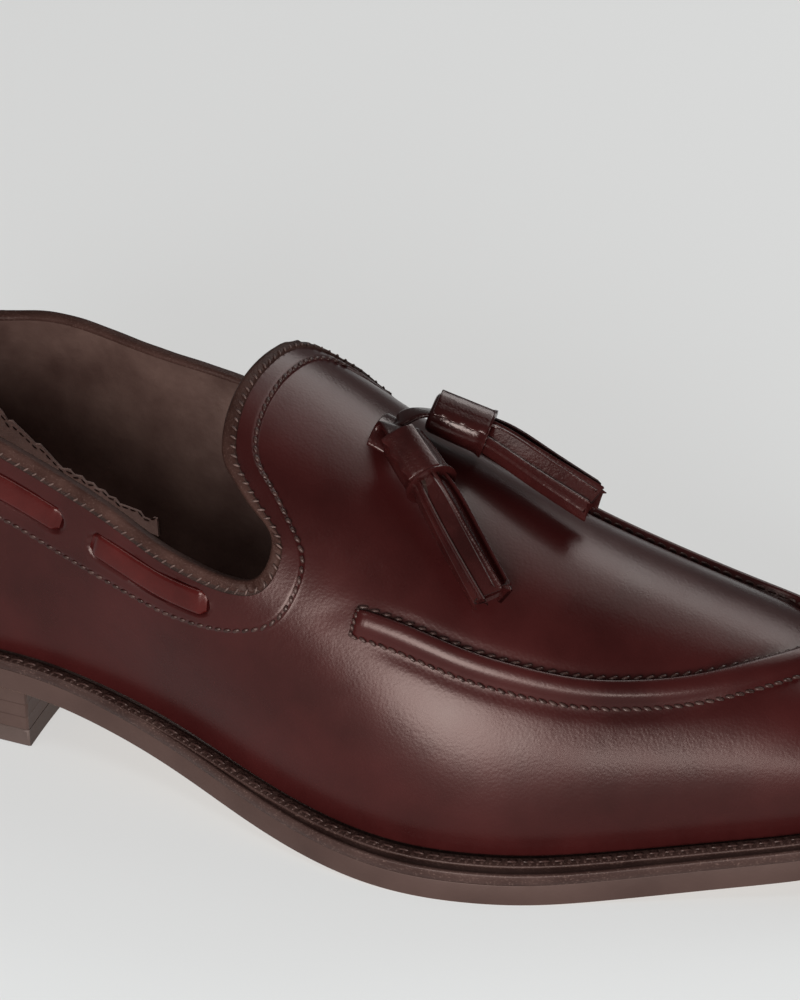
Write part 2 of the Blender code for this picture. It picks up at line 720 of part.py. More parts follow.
def build_back_tab(collection, finish):
    """The strip over the back of the heel, folded over the rolled edge into the shoe."""
    sheet = []
    for i in range(tab_columns):
        side = (i / (tab_columns - 1)) * 2.0 - 1.0
        reach = collar_share_of(0.0) + side * tab_half_width / topline_length
        _feather, seam, top = collar_columns_at(np.array([reach]))
        column = []
        for share, clearance in tab_shares:
            spot = seam + (top - seam) * share
            column.append(raised(spot[:, 0], spot[:, 1], np.array([collar_step + gap + clearance]))[0])
        normal = pattern_normal(top[:, 0], top[:, 1])[0]
        head = pattern_point(top[:, 0], top[:, 1])[0]
        low_spot = seam + (top - seam) * 0.8
        up = unit(head - pattern_point(low_spot[:, 0], low_spot[:, 1])[0])
        for out, lift in tab_fold:
            column.append(head + normal * out + up * lift)
        sheet.append(column)
    sheet = np.array(sheet)
    faces = grid_faces(tab_columns, sheet.shape[1], False)
    made = mesh_object("back_tab", sheet.reshape(-1, 3), faces, collection, finish)
    behind = (8.0 - heel_middle_x) * MM
    outer = [f for f in made.data.polygons if f.center.z < 80.0 * MM and f.center.x < behind]
    if sum(f.normal.x for f in outer) > 0.0:
        made.data.flip_normals()
        made.data.update()
    thicken(made, tab_thickness, 1.0)
    return made


def build_knot(collection, finish):
    """The small fold of lace on the vamp that the tassels hang from."""
    rings = []
    for i in range(knot_stations):
        t = i / (knot_stations - 1) * 2.0 - 1.0
        y = knot_y + t * knot_half_width
        width = knot_half_length * math.sqrt(max(0.2, 1.0 - 0.6 * t * t))
        crown = knot_height * (1.0 - 0.45 * t * t)
        ring = []
        for a, b in ((-1.0, 0.0), (1.0, 0.0), (1.0, 0.45), (0.6, 1.0), (-0.6, 1.0), (-1.0, 0.45)):
            x = knot_x + a * width
            z = vamp_height(x, y) + knot_clearance + b * crown
            ring.append((x, y, z))
        rings.append(ring)
    return swept_bar("lace_knot", rings, False, collection, finish)


def vamp_height(x, y):
    """Height of the vamp over a place near its middle, by stepping across the pattern."""
    across = np.linspace(-14.0, 14.0, 113)
    points = pattern_point(np.full(across.shape, float(x)), across)
    return float(np.interp(y, points[:, 1], points[:, 2]))


def round_tube(name, places, radii, flatness, sides, collection, finish):
    """A closed tapered form along straight stages, flattened towards the vamp."""
    places = np.asarray(places, float)
    along = unit(np.gradient(places, axis=0))
    across = unit(np.cross(along, np.array([0.0, 0.0, 1.0])))
    up = unit(np.cross(across, along))
    rings = []
    for i, radius in enumerate(radii):
        rings.append(oval_ring(places[i], across[i], up[i], radius, radius * flatness, radius * flatness, sides))
    return swept_bar(name, rings, False, collection, finish)


def build_tassels(collection, cutters, finish):
    """Each tassel is one solid: lace tail, wrapped cap and a skirt of fused strips."""
    made = []
    for name, tail_start, cap_start, cap_end, skirt_end in tassel_rows:
        tail_start = np.array(tail_start)
        cap_start = np.array(cap_start)
        cap_end = np.array(cap_end)
        skirt_end = np.array(skirt_end)
        way = unit(skirt_end - cap_end)
        skirt_length = np.linalg.norm(skirt_end - cap_end)
        core_places = [cap_end + way * t for t in (-3.0, 7.0, 19.0, skirt_length - 3.0)]
        core_radii = (skirt_root_radius, skirt_root_radius + 0.3, skirt_end_radius - 1.4, skirt_end_radius - 1.6)
        body = round_tube(name, core_places, core_radii, skirt_flatness, core_sides, collection, finish)
        cap_way = unit(cap_end - cap_start)
        cap_places = [cap_start + cap_way * t for t in (0.0, 1.0, cap_length - 1.2, cap_length)]
        cap_radii = (cap_radius - 1.2, cap_radius - 0.3, cap_radius, cap_radius - 0.5)
        cap = round_tube(name + "_cap_form", cap_places, cap_radii, cap_flatness, cap_sides, cutters, None)
        join_solid(body, cap)
        tail_end = cap_start + cap_way * 3.0
        tail = strip_bar(name + "_tail_form", tail_start, tail_end, 0.5 * lace_width, 1.1, cutters)
        join_solid(body, tail)
        across = unit(np.cross(way, np.array([0.0, 0.0, 1.0])))
        up = unit(np.cross(across, way))
        for k in range(strip_count):
            angle = 2.0 * math.pi * (k + 0.5) / strip_count
            around = across * math.cos(angle) + up * (math.sin(angle) * skirt_flatness)
            length = 1.0 + strip_unevenness * math.sin(2.4 * k)
            start = cap_end - way * 2.0 + around * (skirt_root_radius - 1.0)
            end = skirt_end + way * length + around * (skirt_end_radius - 1.4)
            strip_name = name + "_strip_form_%d" % (k + 1)
            strip = strip_bar(strip_name, start, end, strip_half_width, strip_half_thickness, cutters, around)
            join_solid(body, strip)
        made.append(body)
    return made


def strip_bar(name, start, end, half_width, half_thickness, collection, face=None):
    """A straight flat strip between two places, its broad side facing the given way."""
    along = unit(np.asarray(end) - np.asarray(start))
    face = np.array([0.0, 0.0, 1.0]) if face is None else face
    across = unit(np.cross(face, along))
    up = unit(np.cross(along, across))
    rings = []
    for place in (start, end):
        corners = ((-1.0, -1.0), (1.0, -1.0), (1.0, 1.0), (-1.0, 1.0))
        rings.append([place + across * (a * half_width) + up * (b * half_thickness) for a, b in corners])
    return swept_bar(name, rings, False, collection, None)


def main():
    clear_scene()
    scene = bpy.context.scene
    shoe = bpy.data.collections.new("tassel_loafer")
    cutters = bpy.data.collections.new("cutters")
    scene.collection.children.link(shoe)
    scene.collection.children.link(cutters)
    cutters.hide_render = True
    upper_leather = material("upper_leather", (0.115, 0.022, 0.022), 0.25)
    edge_leather = material("edge_leather", (0.125, 0.085, 0.075), 0.5)
    sole_leather = material("sole_leather", (0.42, 0.25, 0.13), 0.55)
    welt_leather = material("welt_leather", (0.045, 0.025, 0.022), 0.5)
    heel_leather = material("heel_leather", (0.11, 0.075, 0.065), 0.5)
    heel_rubber = material("heel_rubber", (0.03, 0.028, 0.027), 0.6)
    lining_leather = material("lining_leather", (0.06, 0.042, 0.036), 0.6)
    build_outsole(shoe, sole_leather)
    build_welt(shoe, welt_leather)
    build_heel(shoe, heel_leather, heel_rubber)
    build_insole(shoe, lining_leather)
    build_upper(shoe, cutters, upper_leather)
    build_binding(shoe, edge_leather)
    build_laces(shoe, upper_leather)
    build_back_tab(shoe, upper_leather)
    build_knot(shoe, upper_leather)
    build_tassels(shoe, cutters, upper_leather)


main()
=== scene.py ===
import math

import bpy
import numpy as np
from mathutils import Matrix, Vector
from mathutils.kdtree import KDTree


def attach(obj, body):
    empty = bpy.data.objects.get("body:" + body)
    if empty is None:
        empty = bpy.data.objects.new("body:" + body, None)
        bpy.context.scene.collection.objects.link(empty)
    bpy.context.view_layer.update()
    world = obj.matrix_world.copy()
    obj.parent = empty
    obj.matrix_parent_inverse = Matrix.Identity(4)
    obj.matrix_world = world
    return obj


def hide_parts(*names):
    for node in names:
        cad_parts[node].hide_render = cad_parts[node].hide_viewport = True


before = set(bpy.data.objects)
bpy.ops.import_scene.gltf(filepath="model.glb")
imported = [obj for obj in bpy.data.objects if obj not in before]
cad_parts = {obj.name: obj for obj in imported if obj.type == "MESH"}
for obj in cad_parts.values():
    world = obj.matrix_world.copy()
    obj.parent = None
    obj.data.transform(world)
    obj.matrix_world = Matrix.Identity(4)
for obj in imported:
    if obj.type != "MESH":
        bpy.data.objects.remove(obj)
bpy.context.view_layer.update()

# A polished leather tassel loafer for the right foot, all sizes in millimetres.
# Z is up from the floor, Y to the inner side of the foot, X to the toe. The tables count x
# from the back of the sole, and the meshes from the middle of the heel's underside.
mm = 0.001
heelMiddle = np.array([31.0, 0.0, 0.0])
dice = np.random.default_rng(41)
halvings = 26

sole = {
    "outsole": 5.2, "joint": 0.5, "welt": 2.8, "insole": 5.0, "outlineColumns": 260, "edgeSoftness": 0.3,
    "clearance": 0.06, "footGap": 0.3, "insoleInset": 4.2, "insoleGap": 0.3, "sockInset": 4.9, "sock": 0.8,
    "sockGap": 0.05, "insoleSoftness": 0.5, "sockSoftness": 0.3, "cutEvery": 6.0, "cutsEnd": 288.0,
}

# name, x and y of the sole edge, margin in to the upper, x of the section's crest,
# bulge of the wall, height of the bulge as a share, half width of the shoulder
outlineRows = (
    ("heelBack", 0.0, 0.0, 3.0, 36.0, 5.0, 0.30, 24.0),
    ("heelBackOuter", 8.0, -21.0, 3.0, 38.0, 5.0, 0.30, 24.0),
    ("heelOuter", 32.0, -34.0, 3.2, 44.0, 4.0, 0.32, 29.0),
    ("seatOuter", 66.0, -36.0, 3.8, 68.0, 4.0, 0.34, 35.0),
    ("waistOuter", 100.0, -40.5, 5.0, 100.0, 5.0, 0.40, 48.0),
    ("instepOuter", 130.0, -49.0, 6.4, 128.0, 5.0, 0.42, 44.0),
    ("jointOuter", 160.0, -54.5, 7.4, 156.0, 4.0, 0.44, 40.0),
    ("ballOuter", 187.0, -51.5, 7.8, 182.0, 4.0, 0.44, 34.0),
    ("toeOuter1", 214.0, -40.0, 7.6, 208.0, 4.0, 0.46, 27.0),
    ("toeOuter2", 241.0, -27.0, 7.2, 230.0, 4.0, 0.50, 23.0),
    ("toeOuter3", 265.0, -15.5, 7.0, 246.0, 4.0, 0.54, 21.0),
    ("toeCornerOuter", 281.0, -3.0, 6.8, 252.0, 3.6, 0.56, 20.0),
    ("toeTip", 290.0, 14.0, 6.8, 254.0, 3.4, 0.54, 18.0),
    ("toeCornerInner", 284.0, 31.5, 6.6, 252.0, 3.4, 0.55, 19.5),
    ("toeInner3", 269.0, 43.5, 6.4, 246.0, 3.4, 0.56, 23.0),
    ("toeInner2", 250.0, 49.5, 6.4, 235.0, 3.6, 0.52, 26.0),
    ("toeInner1", 229.0, 51.8, 6.4, 218.0, 3.8, 0.48, 29.0),
    ("ballInner", 205.0, 50.0, 6.4, 198.0, 4.6, 0.44, 32.0),
    ("jointInner", 178.0, 43.0, 5.8, 174.0, 8.0, 0.42, 34.0),
    ("waistInner", 148.0, 33.0, 4.4, 146.0, 14.0, 0.44, 40.0),
    ("archInner", 115.0, 28.0, 3.6, 114.0, 14.0, 0.44, 47.0),
    ("seatInner", 75.0, 30.5, 3.2, 76.0, 6.0, 0.34, 34.0),
    ("heelInner", 36.0, 34.0, 3.0, 46.0, 4.5, 0.32, 28.0),
    ("heelBackInner", 8.0, 21.0, 3.0, 38.0, 5.0, 0.30, 24.0),
)

# crest of the last: x, height, y, lean of the section up to the inner side
crestRows = (
    (20.0, 140.0, 0.0, 0.00), (50.0, 130.0, 1.5, 0.03), (80.0, 113.5, 2.6, 0.09),
    (98.0, 102.0, 3.0, 0.13), (106.0, 99.3, 3.0, 0.13), (113.0, 97.2, 3.0, 0.13),
    (124.0, 93.0, 3.0, 0.12), (144.0, 85.0, 3.0, 0.10), (165.0, 77.5, 3.2, 0.08),
    (185.0, 70.0, 3.8, 0.06), (205.0, 63.0, 5.2, 0.05), (225.0, 56.5, 8.0, 0.04),
    (240.0, 51.8, 10.4, 0.03), (250.0, 48.2, 12.0, 0.02), (260.0, 44.0, 13.0, 0.02),
)

# underside of the sole: x, height above the floor
soleRows = (
    (0.0, 17.5), (30.0, 17.5), (62.0, 17.3), (80.0, 14.6), (95.0, 11.6), (110.0, 8.3),
    (125.0, 5.0), (140.0, 2.4), (155.0, 0.7), (170.0, 0.0), (185.0, 0.0), (198.0, 0.0),
    (215.0, 0.8), (233.0, 2.4), (250.0, 4.3), (270.0, 7.2), (300.0, 12.2),
)

# the collar on the flat pattern: name, outline row below it, topline along and across,
# lower seam along and across
collarRows = (
    ("back", 0.0, 18.5, 0.4, 13.0, 0.3),
    ("backOuter", 1.1, 23.0, -9.2, 17.3, -11.1),
    ("quarterOuter1", 2.1, 38.0, -16.0, 37.2, -20.8),
    ("quarterOuter2", 2.8, 57.0, -16.6, 56.4, -21.7),
    ("sideOuter1", 3.5, 77.3, -16.2, 76.0, -22.2),
    ("sideOuter2", 4.1, 94.5, -16.4, 95.0, -23.0),
    ("dipOuter", 4.8, 108.5, -17.9, 110.5, -24.2),
    ("throatOuter1", 5.6, 118.2, -18.6, 123.5, -23.9),
    ("throatOuter2", 6.4, 124.9, -16.9, 132.0, -20.4),
    ("throatOuter3", 7.3, 125.2, -13.6, 133.6, -15.6),
    ("tongueOuter1", 8.2, 119.8, -11.0, 129.0, -11.6),
    ("tongueOuter2", 9.2, 113.0, -8.2, 122.0, -8.0),
    ("tongueOuter3", 10.3, 108.2, -4.9, 115.6, -4.2),
    ("tongueOuter4", 11.2, 106.5, -0.6, 114.2, -0.2),
    ("tongueTop", 12.0, 106.9, 3.1, 114.6, 3.0),
    ("tongueInner4", 12.8, 108.2, 5.4, 115.4, 4.7),
    ("tongueInner3", 13.7, 111.0, 7.4, 117.6, 6.6),
    ("tongueInner2", 14.8, 117.4, 8.9, 123.0, 8.1),
    ("tongueInner1", 15.8, 123.6, 10.1, 130.0, 9.8),
    ("throatInner4", 16.6, 127.0, 11.35, 133.9, 11.7),
    ("throatInner3", 17.2, 127.0, 12.4, 133.7, 13.2),
    ("throatInner2", 17.8, 124.4, 13.6, 131.4, 15.3),
    ("throatInner1", 18.5, 119.6, 14.05, 125.0, 16.7),
    ("dipInner", 19.2, 110.6, 14.0, 112.4, 17.2),
    ("sideInner2", 20.1, 96.0, 13.8, 96.5, 17.2),
    ("sideInner1", 20.7, 77.4, 15.0, 77.4, 18.8),
    ("quarterInner2", 21.3, 58.0, 17.0, 57.3, 21.2),
    ("quarterInner1", 22.0, 38.6, 17.2, 37.6, 21.6),
    ("backInner", 23.0, 23.2, 10.4, 17.4, 12.0),
)


def naturalSpline(places, values):
    places = np.asarray(places, float)
    values = np.asarray(values, float)
    if values.ndim == 1:
        values = values[:, None]
    count = len(places)
    steps = np.diff(places)
    system = np.eye(count)
    target = np.zeros(values.shape)
    for i in range(1, count - 1):
        system[i, i - 1 : i + 2] = steps[i - 1], 2.0 * (steps[i - 1] + steps[i]), steps[i]
        ahead = (values[i + 1] - values[i]) / steps[i]
        behind = (values[i] - values[i - 1]) / steps[i - 1]
        target[i] = 3.0 * (ahead - behind)
    bend = np.linalg.solve(system, target)

    def curve(x, slope=False):
        x = np.asarray(x, float)
        i = np.clip(np.searchsorted(places, x) - 1, 0, count - 2)
        t = (x - places[i])[..., None]
        step = steps[i][..., None]
        linear = (values[i + 1] - values[i]) / step - step * (2.0 * bend[i] + bend[i + 1]) / 3.0
        cubic = (bend[i + 1] - bend[i]) / (3.0 * step)
        if slope:
            return linear + 2.0 * bend[i] * t + 3.0 * cubic * t * t
        return values[i] + linear * t + bend[i] * t * t + cubic * t ** 3

    return curve


def closedSpline(rows, wrapBy=0.0):
    # wrapBy is what the first column grows by in one lap, with lengths then taken from the last two
    rows = np.asarray(rows, float)
    count = len(rows)
    lap = 4
    index = np.arange(-lap, count + lap + 1)
    values = rows[index % count].copy()
    values[:, 0] += wrapBy * np.floor_divide(index, count)
    chord = np.linalg.norm(np.diff(values[:, -2:] if wrapBy else values[:, :2], axis=0), axis=1)
    length = np.concatenate([[0.0], np.cumsum(chord)])
    curve = naturalSpline(length, values)
    start, end = length[lap], length[lap + count]

    def atShare(share):
        return curve(start + (np.asarray(share, float) % 1.0) * (end - start))

    def shareOf(row):
        place = np.interp(np.asarray(row, float) + lap, np.arange(len(length)), length)
        return (place - start) / (end - start)

    return atShare, shareOf


outlineShare, outlineShareOf = closedSpline([row[1:] for row in outlineRows])
collarShare, collarShareOf = closedSpline([row[1:] for row in collarRows], len(outlineRows))
crestCurve = naturalSpline([row[0] for row in crestRows], [row[1:] for row in crestRows])
soleCurve = naturalSpline([row[0] for row in soleRows], [row[1] for row in soleRows])
toeRow = [row[0] for row in outlineRows].index("toeTip")
toeShare = float(outlineShareOf(toeRow))


def unit(vectors):
    return vectors / np.linalg.norm(vectors, axis=-1, keepdims=True)


def smooth(low, high, value):
    t = np.clip((value - low) / (high - low), 0.0, 1.0)
    return t * t * (3.0 - 2.0 * t)


def soleBottom(x):
    return soleCurve(x)[..., 0]


def soleTop(x):
    return soleBottom(x) + sole["outsole"] + sole["joint"] + sole["welt"]


def edgeAt(share, inset=None):
    share = np.asarray(share, float)
    row = outlineShare(share)
    along = unit((outlineShare(share + 1e-3) - outlineShare(share - 1e-3))[..., :2])
    inward = np.stack([-along[..., 1], along[..., 0]], -1)
    distance = row[..., 2:3] if inset is None else np.broadcast_to(inset, share.shape)[..., None]
    return row[..., :2] + inward * distance, row


def edgeLoop(share, inset):
    # the sole's outline, drawn in by an inset
    loop, _row = edgeAt(share, inset)
    return loop


def sectionAt(share):
    feather, row = edgeAt(share)
    crest = np.stack([row[..., 3], crestCurve(row[..., 3])[..., 1]], -1)
    return feather, crest, row


def lastSurface(share, rise):
    feather, crest, row = sectionAt(share)
    bulge, bulgeHeight, shoulder = row[..., 4], row[..., 5], row[..., 6]
    footZ = soleTop(feather[..., 0]) + sole["footGap"]
    crestRow = crestCurve(crest[..., 0])
    slope = crestCurve(crest[..., 0], slope=True)[..., 0]
    out = feather - crest
    reach = np.linalg.norm(out, axis=-1)
    out = out / reach[..., None]
    low, high = (1.0 - rise) ** 3, rise ** 3
    lowMid, highMid = 3.0 * (1.0 - rise) ** 2 * rise, 3.0 * (1.0 - rise) * rise ** 2
    shoulderZ = crestRow[..., 0] + shoulder * (slope * out[..., 0] + crestRow[..., 2] * out[..., 1])
    radius = low * reach + lowMid * (reach + bulge) + highMid * shoulder
    bulgeZ = footZ + bulgeHeight * (crestRow[..., 0] - footZ)
    z = low * footZ + lowMid * bulgeZ + highMid * shoulderZ + high * crestRow[..., 0]
    return np.concatenate([crest + out * radius[..., None], z[..., None]], -1)


def patternPoint(spot):
    # the place on the last of spots on the flat pattern, each along and across
    crestX = np.clip(spot[..., 0], 0.0, outlineRows[toeRow][4])
    outerSide = spot[..., 1] < crestCurve(crestX)[..., 1]
    low = np.where(outerSide, 0.0, toeShare)
    high = np.where(outerSide, toeShare, 1.0)
    for _ in range(halvings):
        middle = 0.5 * (low + high)
        feather, crest, _row = sectionAt(middle)
        out = feather - crest
        offset = spot - crest
        before = (out[..., 0] * offset[..., 1] - out[..., 1] * offset[..., 0]) > 0.0
        low = np.where(before, middle, low)
        high = np.where(before, high, middle)
    share = 0.5 * (low + high)
    feather, crest, _row = sectionAt(share)
    out = feather - crest
    rise = 1.0 - ((spot - crest) * out).sum(-1) / (out * out).sum(-1)
    return lastSurface(share, np.clip(rise, 0.0, 1.0))


def patternNormal(spot):
    lengthStep = np.array([0.5, 0.0])
    crossStep = lengthStep[::-1]
    lengthWay = patternPoint(spot + lengthStep) - patternPoint(spot - lengthStep)
    crossWay = patternPoint(spot + crossStep) - patternPoint(spot - crossStep)
    return unit(np.cross(lengthWay, crossWay))


def collarAt(places):
    row = collarShare(places)
    feather, _row = edgeAt(outlineShareOf(row[..., 0] % len(outlineRows)))
    return feather, row[..., 3:5], row[..., 1:3]


def arcLength(points, closed=False):
    ends = np.roll(points, -1, axis=0) if closed else points[1:]
    starts = points if closed else points[:-1]
    return np.concatenate([[0.0], np.cumsum(np.linalg.norm(ends - starts, axis=-1))])


def bendPath(points, count):
    points = np.array(points, float)
    length = arcLength(points)
    return naturalSpline(length, points)(np.linspace(0.0, length[-1], count))


def readTable(at, places, table):
    # each column of a table, read at the given places
    return np.stack([np.interp(at, places, table[:, k]) for k in range(table.shape[1])], 1)


def soften(values, times):
    # evens a closed run of vectors out, three neighbours at a time
    for _ in range(times):
        values = (np.roll(values, 1, axis=0) + 2.0 * values + np.roll(values, -1, axis=0)) / 4.0
    return unit(values)


def cornersOf(mesh):
    flat = np.empty(len(mesh.vertices) * 3)
    mesh.vertices.foreach_get("co", flat)
    return flat.reshape(-1, 3)


def setCorners(mesh, points):
    mesh.vertices.foreach_set("co", np.ravel(points))


def makeActive(piece):
    bpy.ops.object.select_all(action="DESELECT")
    piece.select_set(True)
    bpy.context.view_layer.objects.active = piece


def faceOutwards(angle=None):
    # turns the active piece's faces one way, and smooths edges below an angle in degrees
    bpy.ops.object.mode_set(mode="EDIT")
    bpy.ops.mesh.select_all(action="SELECT")
    bpy.ops.mesh.normals_make_consistent(inside=False)
    bpy.ops.object.mode_set(mode="OBJECT")
    if angle is not None:
        bpy.ops.object.shade_smooth_by_angle(angle=math.radians(angle))


def flipFaces():
    bpy.ops.object.mode_set(mode="EDIT")
    bpy.ops.mesh.flip_normals()
    bpy.ops.object.mode_set(mode="OBJECT")


# Pieces start as a grid primitive whose corners are then laid on the shape

def gridPiece(name, table, wrapLong=False, wrapRound=False, capEnds=False, angle=50.0):
    table = np.asarray(table, float)
    if wrapLong:
        table = np.concatenate([table, table[:1]], 0)
    if wrapRound:
        table = np.concatenate([table, table[:, :1]], 1)
    columns, rows = table.shape[:2]
    bpy.ops.object.select_all(action="DESELECT")
    bpy.ops.mesh.primitive_grid_add(x_subdivisions=columns - 1, y_subdivisions=rows - 1, size=2.0)
    piece = bpy.context.object
    piece.name = name
    mesh = piece.data
    corners = cornersOf(mesh)
    i = np.rint((corners[:, 0] + 1.0) * 0.5 * (columns - 1)).astype(int)
    j = np.rint((corners[:, 1] + 1.0) * 0.5 * (rows - 1)).astype(int)
    setCorners(mesh, (table[i, j] - heelMiddle) * mm)
    bpy.ops.object.mode_set(mode="EDIT")
    bpy.ops.mesh.select_all(action="SELECT")
    if wrapLong or wrapRound:
        bpy.ops.mesh.remove_doubles(threshold=1e-7)
    if capEnds:
        bpy.ops.mesh.fill_holes(sides=0)
    bpy.ops.object.mode_set(mode="OBJECT")
    faceOutwards(angle)
    return piece


def addModifier(piece, kind, **settings):
    makeActive(piece)
    made = piece.modifiers.new(kind.lower(), kind)
    for key, value in settings.items():
        setattr(made, key, value)
    bpy.ops.object.modifier_apply(modifier=made.name)


def bevelEdges(piece, width, segments=2):
    way = {"limit_method": "ANGLE", "angle_limit": math.radians(50.0)}
    addModifier(piece, "BEVEL", width=width * mm, segments=segments, **way)


def finishPiece(piece, finish, slot, *nodes):
    piece.data.materials.clear()
    piece.data.materials.append(finish)
    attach(piece, "root")
    if nodes:
        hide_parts(*nodes)
    return piece


def ringSweep(centre, side, up, profile):
    # one ring for each place, from profile points given as sideways and upwards offsets
    profile = np.asarray(profile, float)
    if profile.ndim == 2:
        profile = np.broadcast_to(profile, (len(centre),) + profile.shape)
    return centre[:, None] + side[:, None] * profile[..., :1] + up[:, None] * profile[..., 1:2]


def roundedBar(halfWidth, low, high, softness, steps=3):
    # corners of a bar's section, each turned with a few points
    points = []
    for signX, signZ, turn in ((1, -1, -90), (1, 1, 0), (-1, 1, 90), (-1, -1, 180)):
        cx = signX * (halfWidth - softness)
        cz = (high - softness) if signZ > 0 else (low + softness)
        for k in range(steps + 1):
            angle = math.radians(turn + 90.0 * k / steps)
            points.append((cx + softness * math.cos(angle), cz + softness * math.sin(angle)))
    return np.array(points)


def fromArrays(name, points, faces):
    mesh = bpy.data.meshes.new(name)
    mesh.from_pydata(((np.asarray(points) - heelMiddle) * mm).tolist(), [], faces)
    mesh.update()
    piece = bpy.data.objects.new(name, mesh)
    bpy.context.scene.collection.objects.link(piece)
    makeActive(piece)
    faceOutwards(60.0)
    return piece


def stitchRow(name, path, out, look, closed=False):
    # small thread loops along a path, joined in one mesh
    length = arcLength(path, closed)
    if closed:
        path = np.concatenate([path, path[:1]])
        out = np.concatenate([out, out[:1]])
    count = max(2, int(round(length[-1] / look["pitch"])))
    if closed:
        places = np.arange(count) * length[-1] / count
    else:
        places = (np.arange(count) + 0.5) * length[-1] / count
    step = 0.6
    centre = readTable(places, length, path)
    ahead = readTable(np.minimum(places + step, length[-1]), length, path)
    behind = readTable(np.maximum(places - step, 0.0), length, path)
    up = unit(readTable(places, length, out))
    along = unit(ahead - behind)
    side = unit(np.cross(up, along))
    wander = 3.0
    unevenLength = 0.06
    turn = np.radians(look["tilt"] + wander * dice.standard_normal(count))[:, None]
    run = along * np.cos(turn) + side * np.sin(turn)
    wide = unit(np.cross(up, run))
    stages = ((-1.0, 0.35), (-0.72, 0.85), (0.0, 1.0), (0.72, 0.85), (1.0, 0.35))
    sides = 6
    halfLength = 0.5 * look["length"] * (1.0 + unevenLength * dice.standard_normal(count))[:, None]
    points = []
    for s, girth in stages:
        lift = look["arch"] * (1.0 - s * s) - look["sink"]
        for k in range(sides):
            angle = 2.0 * math.pi * (k + 0.5) / sides
            points.append(centre + run * (s * halfLength)
                          + wide * (0.5 * look["width"] * girth * math.cos(angle))
                          + up * (lift + 0.5 * look["height"] * girth * math.sin(angle)))
    points = np.stack(points, 1)
    each = len(stages) * sides
    faces = []
    for n in range(count):
        base = n * each
        for r in range(len(stages) - 1):
            for k in range(sides):
                m = (k + 1) % sides
                a = base + r * sides
                b = a + sides
                faces.append((a + k, a + m, b + m, b + k))
        faces.append(tuple(base + k for k in reversed(range(sides))))
        faces.append(tuple(base + each - sides + k for k in range(sides)))
    return fromArrays(name, points.reshape(-1, 3), faces)


print("shape functions ready")

# Materials

def newMaterial(name, **settings):
    made = bpy.data.materials.new(name)
    made.use_nodes = True
    shader = made.node_tree.nodes["Principled BSDF"]
    for key, value in settings.items():
        shader.inputs[key.replace("_", " ")].default_value = value
    return made, made.node_tree, shader


def addNode(tree, kind, **settings):
    made = tree.nodes.new(kind)
    for key, value in settings.items():
        if key in made.inputs:
            made.inputs[key].default_value = value
        else:
            setattr(made, key, value)
    return made


def ramp(tree, source, stops):
    made = tree.nodes.new("ShaderNodeValToRGB")
    bar = made.color_ramp.elements
    while len(bar) < len(stops):
        bar.new(0.5)
    for element, (place, colour) in zip(bar, stops):
        element.position = place
        element.color = (*colour, 1.0) if len(colour) == 3 else colour
    tree.links.new(source, made.inputs["Fac"])
    return made.outputs["Color"]


def grainGroup():
    # fine pores, soft creases and wide cloudiness of leather
    group = bpy.data.node_groups.new("leatherGrain", "ShaderNodeTree")
    for name, start in (("Pore Scale", 1500.0), ("Crease Scale", 120.0), ("Cloud Scale", 22.0)):
        socket = group.interface.new_socket(name=name, in_out="INPUT", socket_type="NodeSocketFloat")
        socket.default_value = start
    for name in ("Height", "Cloud", "Fleck"):
        group.interface.new_socket(name=name, in_out="OUTPUT", socket_type="NodeSocketFloat")
    given = group.nodes.new("NodeGroupInput")
    put = group.nodes.new("NodeGroupOutput")
    place = group.nodes.new("ShaderNodeTexCoord")
    pores = addNode(group, "ShaderNodeTexVoronoi", feature="SMOOTH_F1")
    creases = addNode(group, "ShaderNodeTexNoise", Detail=6.0, Roughness=0.62, Distortion=0.4)
    cloud = addNode(group, "ShaderNodeTexNoise", Detail=4.0, Roughness=0.55)
    fleck = addNode(group, "ShaderNodeTexNoise", Detail=3.0, Roughness=0.7)
    for node, scale in ((pores, "Pore"), (creases, "Crease"), (cloud, "Cloud"), (fleck, "Pore")):
        group.links.new(place.outputs["Object"], node.inputs["Vector"])
        group.links.new(given.outputs[scale + " Scale"], node.inputs["Scale"])
    mixed = addNode(group, "ShaderNodeMath", operation="MULTIPLY_ADD")
    group.links.new(pores.outputs["Distance"], mixed.inputs[0])
    mixed.inputs[1].default_value = 0.35
    group.links.new(creases.outputs["Fac"], mixed.inputs[2])
    group.links.new(mixed.outputs["Value"], put.inputs["Height"])
    group.links.new(cloud.outputs["Fac"], put.inputs["Cloud"])
    group.links.new(fleck.outputs["Fac"], put.inputs["Fleck"])
    return group


grain = grainGroup()
warmSheen = (1.0, 0.80, 0.73, 1.0)


def grained(name, gloss, spread, bump, scales, settings):
    # gloss is the lowest and highest roughness, bump is the grain's height in metres
    made, tree, shader = newMaterial(name, Specular_Tint=warmSheen, **settings)
    node = addNode(tree, "ShaderNodeGroup", node_tree=grain)
    for key, value in zip(("Pore Scale", "Crease Scale", "Cloud Scale"), scales):
        node.inputs[key].default_value = value
    rough = addNode(tree, "ShaderNodeMapRange")
    for key, value in zip(("From Min", "From Max", "To Min", "To Max"), (*spread, *gloss)):
        rough.inputs[key].default_value = value
    tree.links.new(node.outputs["Cloud"], rough.inputs["Value"])
    tree.links.new(rough.outputs["Result"], shader.inputs["Roughness"])
    relief = addNode(tree, "ShaderNodeBump", Strength=1.0, Distance=bump)
    tree.links.new(node.outputs["Height"], relief.inputs["Height"])
    tree.links.new(relief.outputs["Normal"], shader.inputs["Normal"])
    return made, tree, shader, node


